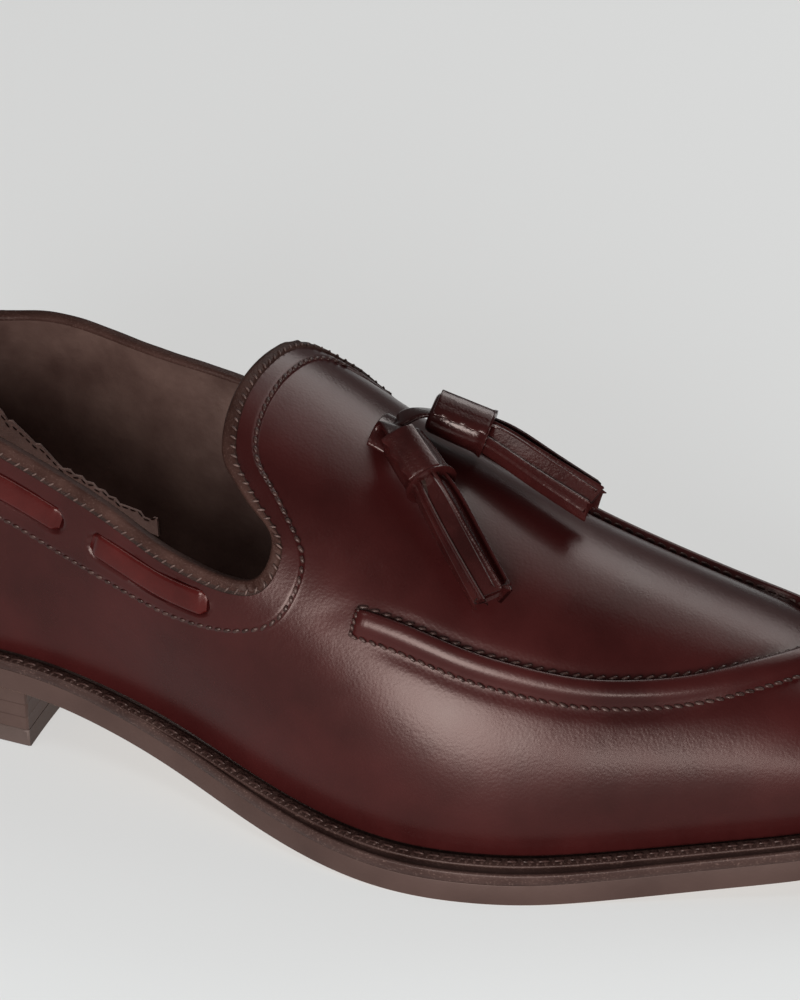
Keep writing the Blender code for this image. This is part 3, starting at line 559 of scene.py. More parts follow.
def leather(name, dark, light, gloss, bump, scales, fleckTint=None, **settings):
    made, tree, shader, node = grained(name, gloss, (0.3, 0.7), bump, scales, settings)
    colour = ramp(tree, node.outputs["Cloud"], ((0.3, dark), (0.72, light)))
    if fleckTint is not None:
        mask = ramp(tree, node.outputs["Fleck"], ((0.56, (0.0, 0.0, 0.0)), (0.74, (1.0, 1.0, 1.0))))
        mix = addNode(tree, "ShaderNodeMix", data_type="RGBA")
        tree.links.new(mask, mix.inputs["Factor"])
        tree.links.new(colour, mix.inputs["A"])
        mix.inputs["B"].default_value = (*fleckTint, 1.0)
        colour = mix.outputs["Result"]
    tree.links.new(colour, shader.inputs["Base Color"])
    return made


# darkest and lightest colour, lowest and highest roughness, height of the grain, and its scales
polished = leather(
    "burgundyLeather", (0.014, 0.0022, 0.0021), (0.028, 0.0044, 0.0042), (0.24, 0.34), 0.00006,
    (1500.0, 120.0, 30.0), Specular_IOR_Level=0.22)
laceLeather = leather(
    "burgundyLace", (0.020, 0.0020, 0.0019), (0.044, 0.0050, 0.0044), (0.18, 0.28), 0.00006,
    (1800.0, 260.0, 60.0), Specular_IOR_Level=0.2)
tasselLeather = leather(
    "burgundyTassel", (0.010, 0.0019, 0.0018), (0.024, 0.0042, 0.0038), (0.16, 0.3), 0.0001,
    (1800.0, 300.0, 70.0), Coat_Weight=0.08, Coat_Roughness=0.14, Specular_IOR_Level=0.25)
cutEdge = leather(
    "cutEdge", (0.008, 0.004, 0.003), (0.022, 0.011, 0.009), (0.5, 0.7), 0.00015,
    (2200.0, 500.0, 120.0), fleckTint=(0.050, 0.030, 0.025), Specular_IOR_Level=0.15)
edgeLeather = leather(
    "foldedEdge", (0.016, 0.0065, 0.005), (0.034, 0.0160, 0.0125), (0.4, 0.58), 0.00014,
    (2200.0, 420.0, 90.0), fleckTint=(0.060, 0.034, 0.028), Specular_IOR_Level=0.07)
ribLeather = leather(
    "sewnWelt", (0.014, 0.006, 0.005), (0.034, 0.018, 0.015), (0.3, 0.48), 0.00010,
    (1800.0, 300.0, 60.0), fleckTint=(0.085, 0.052, 0.043), Specular_IOR_Level=0.2)
heelLeather = leather(
    "heelStack", (0.032, 0.018, 0.015), (0.050, 0.030, 0.025), (0.42, 0.55), 0.00005,
    (1600.0, 300.0, 50.0), Specular_IOR_Level=0.25)
rubber = leather(
    "heelRubber", (0.030, 0.019, 0.016), (0.044, 0.029, 0.025), (0.55, 0.7), 0.00006,
    (2000.0, 500.0, 80.0))
lining = leather(
    "darkLining", (0.032, 0.017, 0.014), (0.062, 0.036, 0.029), (0.36, 0.55), 0.0002,
    (700.0, 160.0, 75.0), Specular_IOR_Level=0.3)
suede = leather(
    "heelSuede", (0.40, 0.26, 0.225), (0.58, 0.40, 0.35), (0.75, 0.9), 0.00015,
    (2400.0, 500.0, 70.0), fleckTint=(0.6, 0.46, 0.42))
thread = leather(
    "brownThread", (0.010, 0.004, 0.0034), (0.038, 0.019, 0.016), (0.26, 0.5), 0.00005,
    (3000.0, 900.0, 400.0), Specular_IOR_Level=0.25)
paleThread = leather(
    "paleThread", (0.026, 0.015, 0.013), (0.088, 0.055, 0.047), (0.3, 0.5), 0.00005,
    (3000.0, 900.0, 400.0), Specular_IOR_Level=0.2)
print("materials ready")

# Outsole: a disc laid on the outline, cut across, set on the sole's curve and thickened

shares = np.linspace(0.0, 1.0, sole["outlineColumns"], endpoint=False)


def outlineSheet(name, loop, heightAt):
    bpy.ops.object.select_all(action="DESELECT")
    bpy.ops.mesh.primitive_circle_add(vertices=len(loop), fill_type="NGON")
    piece = bpy.context.object
    piece.name = name
    mesh = piece.data
    corners = np.zeros((len(loop), 3))
    corners[:, :2] = (loop - heelMiddle[:2]) * mm
    setCorners(mesh, corners)
    bpy.ops.object.mode_set(mode="EDIT")
    for x in np.arange(sole["cutEvery"], sole["cutsEnd"], sole["cutEvery"]):
        bpy.ops.mesh.select_all(action="SELECT")
        bpy.ops.mesh.bisect(plane_co=((x - heelMiddle[0]) * mm, 0.0, 0.0), plane_no=(1.0, 0.0, 0.0))
    bpy.ops.object.mode_set(mode="OBJECT")
    corners = cornersOf(mesh)
    corners[:, 2] = heightAt(corners[:, 0] / mm + heelMiddle[0]) * mm
    setCorners(mesh, corners)
    faceOutwards()
    if sum(face.normal.z for face in mesh.polygons) < 0.0:
        flipFaces()
    return piece


def softSlab(piece, thickness, softness):
    addModifier(piece, "SOLIDIFY", thickness=thickness * mm, offset=1.0, use_even_offset=True)
    bevelEdges(piece, softness, 3)
    bpy.ops.object.shade_smooth_by_angle(angle=math.radians(40.0))


def soleMaterial():
    # tan underside, grey-brown waxed edge, told apart by which way the face looks
    made, tree, shader, node = grained(
        "soleLeather", (0.42, 0.58), (0.0, 1.0), 0.00006, (1500.0, 260.0, 40.0),
        {"Specular_IOR_Level": 0.25})
    edge = ramp(tree, node.outputs["Cloud"], ((0.3, (0.028, 0.015, 0.0125)), (0.7, (0.043, 0.0245, 0.0205))))
    tread = ramp(tree, node.outputs["Cloud"], ((0.3, (0.36, 0.20, 0.10)), (0.7, (0.46, 0.28, 0.15))))
    geometry = tree.nodes.new("ShaderNodeNewGeometry")
    split = tree.nodes.new("ShaderNodeSeparateXYZ")
    tree.links.new(geometry.outputs["Normal"], split.inputs["Vector"])
    facing = addNode(tree, "ShaderNodeMapRange")
    facing.inputs["From Min"].default_value = -0.55
    facing.inputs["From Max"].default_value = -0.85
    tree.links.new(split.outputs["Z"], facing.inputs["Value"])
    mix = addNode(tree, "ShaderNodeMix", data_type="RGBA")
    tree.links.new(facing.outputs["Result"], mix.inputs["Factor"])
    tree.links.new(edge, mix.inputs["A"])
    tree.links.new(tread, mix.inputs["B"])
    tree.links.new(mix.outputs["Result"], shader.inputs["Base Color"])
    return made


def insoleHeight(x):
    return soleBottom(x) + sole["outsole"] + sole["insoleGap"]


def sockHeight(x):
    return insoleHeight(x) + sole["insole"] - sole["sock"] - sole["sockGap"]


outsole = outlineSheet("outsole_leather", edgeLoop(shares, 0.0), soleBottom)
softSlab(outsole, sole["outsole"] + sole["joint"] - sole["clearance"], sole["edgeSoftness"])
finishPiece(outsole, soleMaterial(), "sole_leather", "outsole")

featherInset = outlineShare(shares)[..., 2]
insoleLoop = edgeLoop(shares, featherInset + sole["insoleInset"])
insole = outlineSheet("insole_board", insoleLoop, insoleHeight)
softSlab(insole, sole["insole"] - sole["sock"] - 2.0 * sole["sockGap"], sole["insoleSoftness"])
finishPiece(insole, lining, "lining_leather", "insole")
sockLoop = edgeLoop(shares, featherInset + sole["sockInset"])
sock = outlineSheet("heel_sock", sockLoop, sockHeight)
softSlab(sock, sole["sock"], sole["sockSoftness"])
finishPiece(sock, suede, "lining_leather")
print("soles done")

# Welt: a stitched ledge between the sole and the upper

welt = {
    "columns": 640, "ribInset": 2.6, "ribHalfWidth": 1.75, "ribFoot": -0.6, "ribTop": 0.25,
    "ribSoftness": 0.35, "stitchShift": 0.2,
}
places = np.linspace(0.0, 1.0, welt["columns"], endpoint=False)
margin = outlineShare(places)[:, 2]
edgeLine = edgeLoop(places, 0.0)
inwardLine = np.concatenate([edgeLoop(places, 1.0) - edgeLine, np.zeros((len(places), 1))], 1)
upLine = np.tile(np.array([0.0, 0.0, 1.0]), (len(places), 1))
edgeLine = np.concatenate([edgeLine, soleTop(edgeLine[:, 0])[:, None]], 1)
zero = np.zeros(len(places))
# section of the welt: distance in from the sole edge, and height from its top
weltProfile = np.stack([np.stack([a + zero, b + zero], 1) for a, b in (
    (0.12, -2.8), (0.02, -2.7), (0.0, -0.5), (0.12, -0.18), (0.5, 0.0), (1.0, -0.05), (1.35, -0.3),
    (margin - 3.9, -0.35), (margin - 3.2, -0.1), (margin - 1.2, -0.05), (margin - 0.2, -0.4),
    (margin + 0.6, -0.6), (margin + 2.5, -0.6), (margin + 2.5, -2.8),
)], 1)
weltRings = ringSweep(edgeLine, inwardLine, upLine, weltProfile)
weltPiece = gridPiece("welt_strip", weltRings, wrapLong=True, wrapRound=True, angle=60.0)
finishPiece(weltPiece, ribLeather, "welt_leather", "welt")
ribPath = edgeLine + inwardLine * (margin - welt["ribInset"])[:, None]
ribBar = roundedBar(welt["ribHalfWidth"], welt["ribFoot"], welt["ribTop"], welt["ribSoftness"])
ribRings = ringSweep(ribPath, inwardLine, upLine, ribBar)
finishPiece(gridPiece("welt_rib", ribRings, wrapLong=True, wrapRound=True), ribLeather, "welt_leather")
weltMarks = {
    "pitch": 1.85, "length": 2.7, "width": 1.15, "height": 0.8,
    "arch": 0.1, "sink": -0.12, "tilt": 78.0,
}
marks = stitchRow("welt_marks", ribPath, upLine, weltMarks, closed=True)
finishPiece(marks, ribLeather, "welt_leather")
weltStitches = {
    "pitch": 3.7, "length": 2.6, "width": 0.7, "height": 0.55,
    "arch": 0.12, "sink": -0.5, "tilt": 0.0,
}
stitchPath = ribPath - inwardLine * welt["stitchShift"]
ribStitches = stitchRow("welt_stitches", stitchPath, upLine, weltStitches, closed=True)
finishPiece(ribStitches, thread, "welt_leather")
print("welt done")

# Heel: leather lifts with a rubber top piece

heel = {
    "breastX": 60.5, "hollow": 1.6, "topInset": 1.0, "footInset": 2.4, "topPiece": 5.0, "seatZ": 17.3,
    "gap": 0.25, "lifts": 3, "columns": 220, "breastPoints": 17, "edgeStep": 0.5,
}


def heelLoop(inset):
    line = edgeLoop(np.linspace(-0.2, 0.2, 141), inset)
    kept = line[line[:, 0] < heel["breastX"] - 0.01]
    corners = np.array([[heel["breastX"], kept[-1, 1]], [heel["breastX"], kept[0, 1]]])
    t = np.linspace(0.0, 1.0, heel["breastPoints"])[:, None]
    front = corners[0] * (1.0 - t) + corners[1] * t
    front[:, 0] -= (heel["hollow"] * 4.0 * t * (1.0 - t))[:, 0]
    return np.concatenate([kept[1:-1], front])


def heelBlock(name, rows):
    # rows are height and inset from the sole edge
    loops = []
    for z, inset in rows:
        loop = heelLoop(inset)
        length = arcLength(loop, True)
        closedLoop = np.concatenate([loop, loop[:1]])
        at = np.linspace(0.0, length[-1], heel["columns"], endpoint=False)
        ring = readTable(at, length, closedLoop)
        loops.append(np.concatenate([ring, np.full((len(at), 1), z)], 1))
    return gridPiece(name, np.stack(loops, 1), wrapLong=True, capEnds=True, angle=35.0)


liftRows = []
liftBase = heel["topPiece"] + heel["gap"]
liftHeight = (heel["seatZ"] - heel["gap"] - liftBase) / heel["lifts"]
liftFoot = heel["footInset"] - heel["edgeStep"]
for k in range(heel["lifts"]):
    low = liftBase + k * liftHeight
    high = low + liftHeight
    share = (low - liftBase) / (heel["seatZ"] - liftBase)
    inset = liftFoot + (heel["topInset"] - liftFoot) * share
    liftRows += [(low, inset + 0.25), (low + 0.25, inset)]
    liftRows += [(high - 0.25, inset - 0.1), (high - 0.02, inset + 0.12)]
finishPiece(heelBlock("heel_stack", liftRows), heelLeather, "heel_leather", "heel_lifts")
foot, top = heel["footInset"], heel["topPiece"]
treadRows = ((0.0, foot + heel["edgeStep"]), (heel["edgeStep"], foot), (top - 0.4, foot - 0.3), (top, foot))
finishPiece(heelBlock("heel_tread", treadRows), rubber, "heel_rubber", "heel_top_piece")
print("heel done")

# Upper: one shell from the sole to the collar, with the collar band, lace windows and soft hollows

upper = {
    "columns": 420, "footWeight": 0.45, "sideRings": 96, "bandRings": 30, "innerRings": 24, "thickness": 1.1,
    "bandRise": 0.75, "bandStepRun": 0.9, "bindingHeight": 1.8, "stitchInset": 0.9, "stitchGroove": 0.3,
    "stitchGrooveWidth": 0.55, "windowHalfWidth": 3.5, "windowDepth": 1.35, "windowRim": 0.14,
    "windowPlace": 0.55, "windowShorter": 2.8, "windowInside": 0.6, "bunchLow": 0.12, "bunchHigh": 1.15,
}

# stretches of lace in their windows: name, first and last row of the collar table
laceRuns = (
    ("lace_outer_back", 0.9, 1.62),
    ("lace_outer_middle", 2.0, 3.78),
    ("lace_outer_front", 4.22, 6.2),
    ("lace_inner_front", 22.95, 24.95),
    ("lace_inner_middle", 25.35, 27.15),
    ("lace_inner_back", 27.5, 28.2),
)

# soft hollows and swells left by lasting and wear: name, place along and across, half length,
# half width, turn in degrees, height off the surface
softForms = (
    ("throatSwell", 139.0, -21.0, 12.0, 6.0, 20.0, 0.1),
    ("dartFold", 141.5, -19.7, 5.0, 1.4, 10.0, -0.14),
    ("quarterHollow", 100.0, -33.0, 26.0, 7.0, -4.0, -0.5),
    ("flexFold1", 176.0, -28.0, 7.0, 9.0, 8.0, -0.08),
    ("flexFold2", 188.0, -27.0, 6.0, 8.0, 12.0, -0.06),
    ("flexFold3", 179.0, 26.0, 5.0, 7.0, -8.0, -0.1),
    ("vampHollow", 168.0, -4.0, 16.0, 9.0, 0.0, -0.35),
)


def columnPlaces(count):
    fine = np.linspace(0.0, 1.0, 1 + 8 * count)
    feather, _seam, top = collarAt(fine)
    footRun = np.linalg.norm(np.diff(feather, axis=0), axis=1)
    topRun = np.linalg.norm(np.diff(top, axis=0), axis=1)
    run = np.concatenate([[0.0], np.cumsum(topRun + upper["footWeight"] * footRun)])
    return np.interp(np.linspace(0.0, run[-1], count, endpoint=False), run, fine)


def softForm(along, across):
    lift = np.zeros(np.shape(along))
    for _name, x, y, halfLength, halfWidth, turn, height in softForms:
        angle = math.radians(turn)
        u = (along - x) * math.cos(angle) + (across - y) * math.sin(angle)
        v = (across - y) * math.cos(angle) - (along - x) * math.sin(angle)
        lift += height * np.exp(-(u / halfLength) ** 2 - (v / halfWidth) ** 2)
    return lift


def gridNormals(points):
    aroundWay = np.roll(points, -1, axis=0) - np.roll(points, 1, axis=0)
    upWay = np.gradient(points, axis=1)
    normal = unit(np.cross(aroundWay, upWay))
    outer = points[..., 1] < -30.0
    return -normal if normal[outer][:, 1].mean() > 0.0 else normal


ridge = {
    "stations": 340, "startY": 4.0, "startShare": 0.55, "passes": 50, "groove": 0.35, "grooveOut": 4.2,
    "grooveWidth": 1.6, "grooveFade": (1.0, 22.0), "stationRun": 0.82, "endFade": (-1.0, 3.2),
    "endWidth": 0.86, "endHeight": 0.5,
}

# the raised apron seam in plan: name and place
ridgeRows = (
    ("outerEnd", 148.6, -37.0), ("outer1", 161.4, -36.1), ("outer2", 175.1, -34.7),
    ("outer3", 187.8, -31.7), ("outer4", 200.6, -27.3), ("outer5", 213.4, -21.4),
    ("outer6", 226.7, -13.9), ("outer7", 238.0, -5.2), ("frontOuter", 246.4, 4.6),
    ("front", 250.2, 14.6), ("frontInner", 248.2, 24.2), ("inner6", 240.6, 31.0),
    ("inner5", 228.5, 33.8), ("inner4", 214.0, 33.0), ("inner3", 199.0, 31.0),
    ("inner2", 184.0, 29.2), ("inner1", 168.4, 28.0), ("innerEnd", 152.4, 27.6),
)
ridgeTable = np.array([row[1:] for row in ridgeRows], float)
ridgeCurve = naturalSpline(arcLength(ridgeTable), ridgeTable)
ridgePlan = ridgeCurve(np.linspace(0.0, arcLength(ridgeTable)[-1], ridge["stations"]))
# its spots on the flat pattern are closed in on from a rough start
crestLine = np.stack([ridgePlan[:, 0], np.full(len(ridgePlan), ridge["startY"])], 1)
ridgeSpots = crestLine + ridge["startShare"] * (ridgePlan - crestLine)
for _ in range(ridge["passes"]):
    ridgeSpots = ridgeSpots + 0.5 * (ridgePlan - patternPoint(ridgeSpots)[:, :2])
ridgeCentre = patternPoint(ridgeSpots)
print("apron seam off its plan by", round(float(np.abs(ridgeCentre[:, :2] - ridgePlan).max()), 3), "mm")
ridgeUp = patternNormal(ridgeSpots)
ridgeAlong = unit(np.gradient(ridgeCentre, axis=0))
ridgeSide = unit(np.cross(ridgeUp, ridgeAlong))
ridgeTree = KDTree(len(ridgeCentre))
for k, spot in enumerate(ridgeCentre):
    ridgeTree.insert(spot, k)
ridgeTree.balance()

columns = columnPlaces(upper["columns"])
featherLine, seamLine, topLine = collarAt(columns)
seamPoints = patternPoint(seamLine)
topPoints = patternPoint(topLine)
bandWidth = np.linalg.norm(topPoints - seamPoints, axis=1)
stopShare = 1.0 - upper["bindingHeight"] / bandWidth
sideSteps = np.linspace(0.0, 1.0, upper["sideRings"])
sideSteps = sideSteps * (1.0 - upper["bunchLow"] * (1.0 - sideSteps))
bandSteps = np.linspace(0.0, 1.0, upper["bandRings"]) ** upper["bunchHigh"]
spots = [featherLine * (1.0 - t) + seamLine * t for t in sideSteps]
spots += [seamLine + (topLine - seamLine) * (stopShare * t)[:, None] for t in bandSteps[1:]]
spots = np.stack(spots, 1)
outside = patternPoint(spots)
normals = gridNormals(outside)
lift = softForm(spots[..., 0], spots[..., 1])
found = [[ridgeTree.find(p)[1:] for p in line] for line in outside]
nearIndex = np.array([[index for index, _distance in line] for line in found])
nearRidge = np.array([[distance for _index, distance in line] for line in found])
fromRidgeEnd = np.minimum(nearIndex, len(ridgeCentre) - 1 - nearIndex)
fromGroove = (nearRidge - ridge["grooveOut"]) / ridge["grooveWidth"]
lift -= ridge["groove"] * np.exp(-fromGroove ** 2) * smooth(*ridge["grooveFade"], fromRidgeEnd)

# height above the seam in the band, and place along it, both in real millimetres
bandStart = upper["sideRings"] - 1
intoBand = np.zeros(outside.shape[:2])
bandRun = np.linalg.norm(np.diff(outside[:, bandStart:], axis=1), axis=2)
intoBand[:, bandStart + 1 :] = np.cumsum(bandRun, axis=1)
middleLine = 0.5 * (seamPoints + topPoints)
alongBand = arcLength(middleLine, True)
lift += upper["bandRise"] * smooth(0.0, upper["bandStepRun"], intoBand)
fromStitch = (intoBand - upper["stitchInset"]) / upper["stitchGrooveWidth"]
lift -= upper["stitchGroove"] * np.exp(-fromStitch ** 2) * (intoBand > 0.0)
windowMask = np.zeros(outside.shape[:2])
for _name, first, last in laceRuns:
    ends = np.interp(collarShareOf(np.array([first, last])), np.append(columns, 1.0), alongBand)
    middle = 0.5 * (ends[0] + ends[1])
    half = 0.5 * (ends[1] - ends[0]) - upper["windowShorter"]
    past = np.maximum(np.abs(alongBand[:-1] - middle) - half, 0.0)[:, None]
    offLine = intoBand - (1.0 - upper["windowPlace"]) * bandWidth[:, None]
    reach = np.sqrt(past ** 2 + offLine ** 2) - upper["windowHalfWidth"]
    reach = np.where(intoBand > 0.0, reach, 9.0)
    windowMask = np.maximum(windowMask, smooth(0.15, -0.55, reach))
    lift += upper["windowRim"] * np.exp(-((reach - 0.45) / 0.4) ** 2)
lift -= upper["windowDepth"] * windowMask
outer = outside + normals * lift[..., None]
innerRings = np.linspace(outside.shape[1] - 1, 0, upper["innerRings"]).astype(int)
inner = outside[:, innerRings] - normals[:, innerRings] * upper["thickness"]
inner -= normals[:, innerRings] * (upper["windowInside"] * windowMask[:, innerRings])[..., None]
shell = np.concatenate([outer, inner], 1)
upperPiece = gridPiece("upper_shell", shell, wrapLong=True, wrapRound=True, angle=60.0)
finishPiece(upperPiece, polished, "upper_leather", "upper")
print("upper done")

# Lining: a thinner skin inside the upper, with a softer patch round the heel

liningLook = {
    "rings": 44, "outside": 1.35, "inside": 2.2, "patchRows": 34, "patchGap": 0.05, "patchDepth": 0.8,
}
liningSteps = np.linspace(0.04, 0.992, liningLook["rings"])
liningSpots = np.stack([featherLine * (1.0 - t) + topLine * t for t in liningSteps], 1)
liningBase = patternPoint(liningSpots)
liningNormal = gridNormals(liningBase)
liningOut = liningBase - liningNormal * liningLook["outside"]
liningIn = liningBase - liningNormal * liningLook["inside"]
liningShell = np.concatenate([liningOut, liningIn[:, ::-1]], 1)
finishPiece(gridPiece("lining_skin", liningShell, wrapLong=True, wrapRound=True), lining, "lining_leather")
# the patch reaches forward on the insole side, its top edge lower and a little uneven towards the toe
patchTop = ((5.0, 84.0), (16.0, 72.0), (25.0, 55.0), (39.0, 43.5), (53.0, 37.5), (66.0, 34.0), (90.0, 31.0))
heelColumns = np.where((columns < collarShareOf(3.3)) | (columns > collarShareOf(25.7)))[0]
heelColumns = np.roll(heelColumns, (columns[heelColumns] > 0.5).sum())
patchPoint, patchOut = [], []
for column in heelColumns:
    line = liningBase[column]
    edge = np.interp(line[:, 0], *zip(*patchTop))
    edge = edge + 0.4 * math.sin(0.13 * column) + 0.25 * math.sin(0.31 * column)
    above = np.argmax(line[:, 2] > edge) if (line[:, 2] > edge).any() else liningLook["rings"] - 2
    level = np.linspace(3.0, max(5.0, min(above, liningLook["rings"] - 3)), liningLook["patchRows"])
    index = np.arange(liningLook["rings"])
    patchPoint.append(readTable(level, index, line))
    patchOut.append(unit(readTable(level, index, liningNormal[column])))
patchPoint, patchOut = np.array(patchPoint), np.array(patchOut)
patchFar = patchPoint - patchOut * (liningLook["inside"] + liningLook["patchGap"])
patchNear = patchPoint - patchOut * (liningLook["inside"] + liningLook["patchDepth"])
patch = np.concatenate([patchFar, patchNear[:, ::-1]], 1)
finishPiece(gridPiece("heel_patch", patch, wrapRound=True, capEnds=True), suede, "lining_leather")
patchStitch = {
    "pitch": 2.4, "length": 1.7, "width": 0.5, "height": 0.4,
    "arch": 0.05, "sink": 0.0, "tilt": 0.0,
}
seam = patchNear[:, -3]
finishPiece(stitchRow("patch_seam", seam, -patchOut[:, -3], patchStitch), paleThread, "lining_leather")
print("lining done")

# Rolled edge round the opening, with puckers in the tight turns of the throat

binding = {
    "halfWidth": 1.75, "low": -1.2, "high": 2.3, "softness": 1.1, "pucker": 0.22, "puckerPitch": 2.3,
    "waviness": 0.03, "sink": 1.05, "rise": 0.2,
}
topNormal = soften(normals[:, -1], 6)
footPoints = patternPoint(seamLine + (topLine - seamLine) * stopShare[:, None])
bindUp = soften(unit(topPoints - footPoints), 6)
topAlong = arcLength(footPoints, True)
tangent = unit(np.roll(footPoints, -1, axis=0) - np.roll(footPoints, 1, axis=0))
turning = np.linalg.norm(np.roll(tangent, -2, axis=0) - np.roll(tangent, 2, axis=0), axis=1)
turning = smooth(0.12, 0.4, turning)
wave = np.sin(2.0 * math.pi * topAlong[:-1] / binding["puckerPitch"] + 1.3 * np.sin(topAlong[:-1] / 5.0))
swell = 1.0 + binding["pucker"] * turning * wave + binding["waviness"] * np.sin(topAlong[:-1] / 1.7)
bar = roundedBar(binding["halfWidth"], binding["low"], binding["high"], binding["softness"], 4)
profiles = bar[None] * np.stack([swell, np.ones(len(swell))], 1)[:, None]
bindMiddle = footPoints + topNormal * (upper["bandRise"] - binding["sink"]) + bindUp * binding["rise"]
bindRings = ringSweep(bindMiddle, topNormal, bindUp, profiles)
bindPiece = gridPiece("rolled_edge", bindRings, wrapLong=True, wrapRound=True)
finishPiece(bindPiece, edgeLeather, "edge_leather", "topline_binding")

# a rough folded strip just below the roll, sewn through with short cross stitches
stripWidth = 0.8 + 0.9 * smooth(9.5, 14.0, bandWidth)
# share of the strip's width below its top edge, and height above the band
stripSection = ((0.0, 0.42), (0.4, 0.5), (0.9, 0.38), (1.15, 0.0), (1.15, -0.5), (0.0, -0.5))
stripLines = []
for part, height in stripSection:
    spot = seamLine + (topLine - seamLine) * (1.0 - (1.6 + part * stripWidth) / bandWidth)[:, None]
    stripLines.append(patternPoint(spot) + topNormal * (upper["bandRise"] + height))
strip = np.stack(stripLines, 1)
finishPiece(gridPiece("folded_strip", strip, wrapLong=True, wrapRound=True), cutEdge, "edge_leather")
crossStitch = {
    "pitch": 2.45, "length": 1.7, "width": 0.52, "height": 0.5,
    "arch": 0.12, "sink": -0.2, "tilt": 52.0,
}
edgeStitches = stitchRow("edge_stitches", stripLines[1], topNormal, crossStitch, closed=True)
finishPiece(edgeStitches, paleThread, "edge_leather")
print("edge done")

# Stitched seams of the collar band and the apron

seamStitch = {
    "pitch": 2.45, "length": 2.0, "width": 1.0, "height": 0.75,
    "arch": 0.22, "sink": -0.12, "tilt": 17.0,
}
seamNormal = soften(normals[:, bandStart], 3)
upTheBand = unit(topPoints - seamPoints)
seamHeight = 0.85 * upper["bandRise"] - upper["stitchGroove"]
seamPath = seamPoints + upTheBand * upper["stitchInset"] + seamNormal * seamHeight
bandStitches = stitchRow("band_stitches", seamPath, seamNormal, seamStitch, closed=True)
finishPiece(bandStitches, thread, "upper_leather")

# section of the raised seam: sideways towards the apron, and height
ridgeProfile = np.array([
    (-3.6, -1.0), (-3.6, 0.15), (-3.2, 0.55), (-2.5, 0.85), (-1.7, 1.45), (-0.9, 2.05), (0.1, 2.4),
    (1.2, 2.5), (2.2, 2.42), (2.9, 2.2), (3.25, 1.8), (3.3, 1.1), (3.35, 0.2), (3.4, -1.0),
])
fromEnd = np.minimum(np.arange(len(ridgeCentre)), np.arange(len(ridgeCentre))[::-1]) * ridge["stationRun"]
endFull = smooth(*ridge["endFade"], fromEnd)
endWidth = ridge["endWidth"] + (1.0 - ridge["endWidth"]) * endFull
endHeight = ridge["endHeight"] + (1.0 - ridge["endHeight"]) * endFull
ridgeProfiles = ridgeProfile[None] * np.stack([endWidth, endHeight], 1)[:, None]
ridgeRings = ringSweep(ridgeCentre, ridgeSide, ridgeUp, ridgeProfiles)
ridgePiece = gridPiece("apron_ridge", ridgeRings, capEnds=True, wrapRound=True, angle=65.0)
finishPiece(ridgePiece, polished, "upper_leather")
apronStitch = {
    "pitch": 2.9, "length": 2.3, "width": 0.8, "height": 0.65,
    "arch": 0.2, "sink": -0.1, "tilt": 16.0,
}
wallStitch = {
    "pitch": 2.45, "length": 2.2, "width": 0.95, "height": 0.7,
    "arch": 0.15, "sink": -0.1, "tilt": -18.0,
}
ridgeSeams = (("apron_stitches", 3.75, 0.25, apronStitch), ("wall_stitches", -3.45, 0.45, wallStitch))
for name, sideways, height, look in ridgeSeams:
    path = ridgeCentre + ridgeSide * sideways + ridgeUp * height
    finishPiece(stitchRow(name, path, ridgeUp, look), thread, "upper_leather")
endStitch = {
    "pitch": 1.6, "length": 1.5, "width": 0.8, "height": 0.7,
    "arch": 0.2, "sink": -0.1, "tilt": 25.0,
}
for name, k in (("ridge_end_outer", 1), ("ridge_end_inner", len(ridgeCentre) - 2)):
    across = np.linspace(-3.6, 3.7, 12)[:, None]
    rise = 0.5 + 1.3 * (1.0 - (across / 3.9) ** 2)
    path = ridgeCentre[k] + ridgeSide[k] * across + ridgeUp[k] * rise
    finishPiece(stitchRow(name, path, np.tile(ridgeUp[k], (12, 1)), endStitch), thread, "upper_leather")
print("seams done")

# Laces lying in their windows

lace = {"width": 6.3, "thickness": 1.5, "crown": 0.35, "stations": 70, "lift": 0.25, "bury": 0.9}
for name, first, last in laceRuns:
    at = np.linspace(*collarShareOf(np.array([first, last])), lace["stations"])
    _feather, seamSpot, topSpot = collarAt(at)
    spot = topSpot + (seamSpot - topSpot) * upper["windowPlace"]
    base = patternPoint(spot)
    up = patternNormal(spot)
    along = unit(np.gradient(base, axis=0))
    side = unit(np.cross(up, along))
    s = np.linspace(-1.0, 1.0, lace["stations"])
    sink = lace["lift"] - lace["bury"] * smooth(0.86, 1.0, np.abs(s))
    half = 0.5 * lace["width"] * (1.0 - 0.3 * smooth(0.9, 1.0, np.abs(s)))
    ring = roundedBar(1.0, -0.5, 0.5, 0.3)
    height = lace["thickness"] * ring[:, 1] + lace["crown"] * (1.0 - ring[:, 0] ** 2)
    profile = np.stack([half[:, None] * ring[None, :, 0], sink[:, None] + height[None, :]], -1)
    rings = ringSweep(base, side, up, profile)
    strip = gridPiece(name + "_strip", rings, wrapRound=True, capEnds=True)
    finishPiece(strip, laceLeather, "upper_leather", name)
print("laces done")

# Strip over the back of the heel

tab = {
    "halfWidth": 8.6, "thickness": 1.4, "toplineLength": 470.0, "columns": 26, "rows": 60, "softness": 0.35,
}
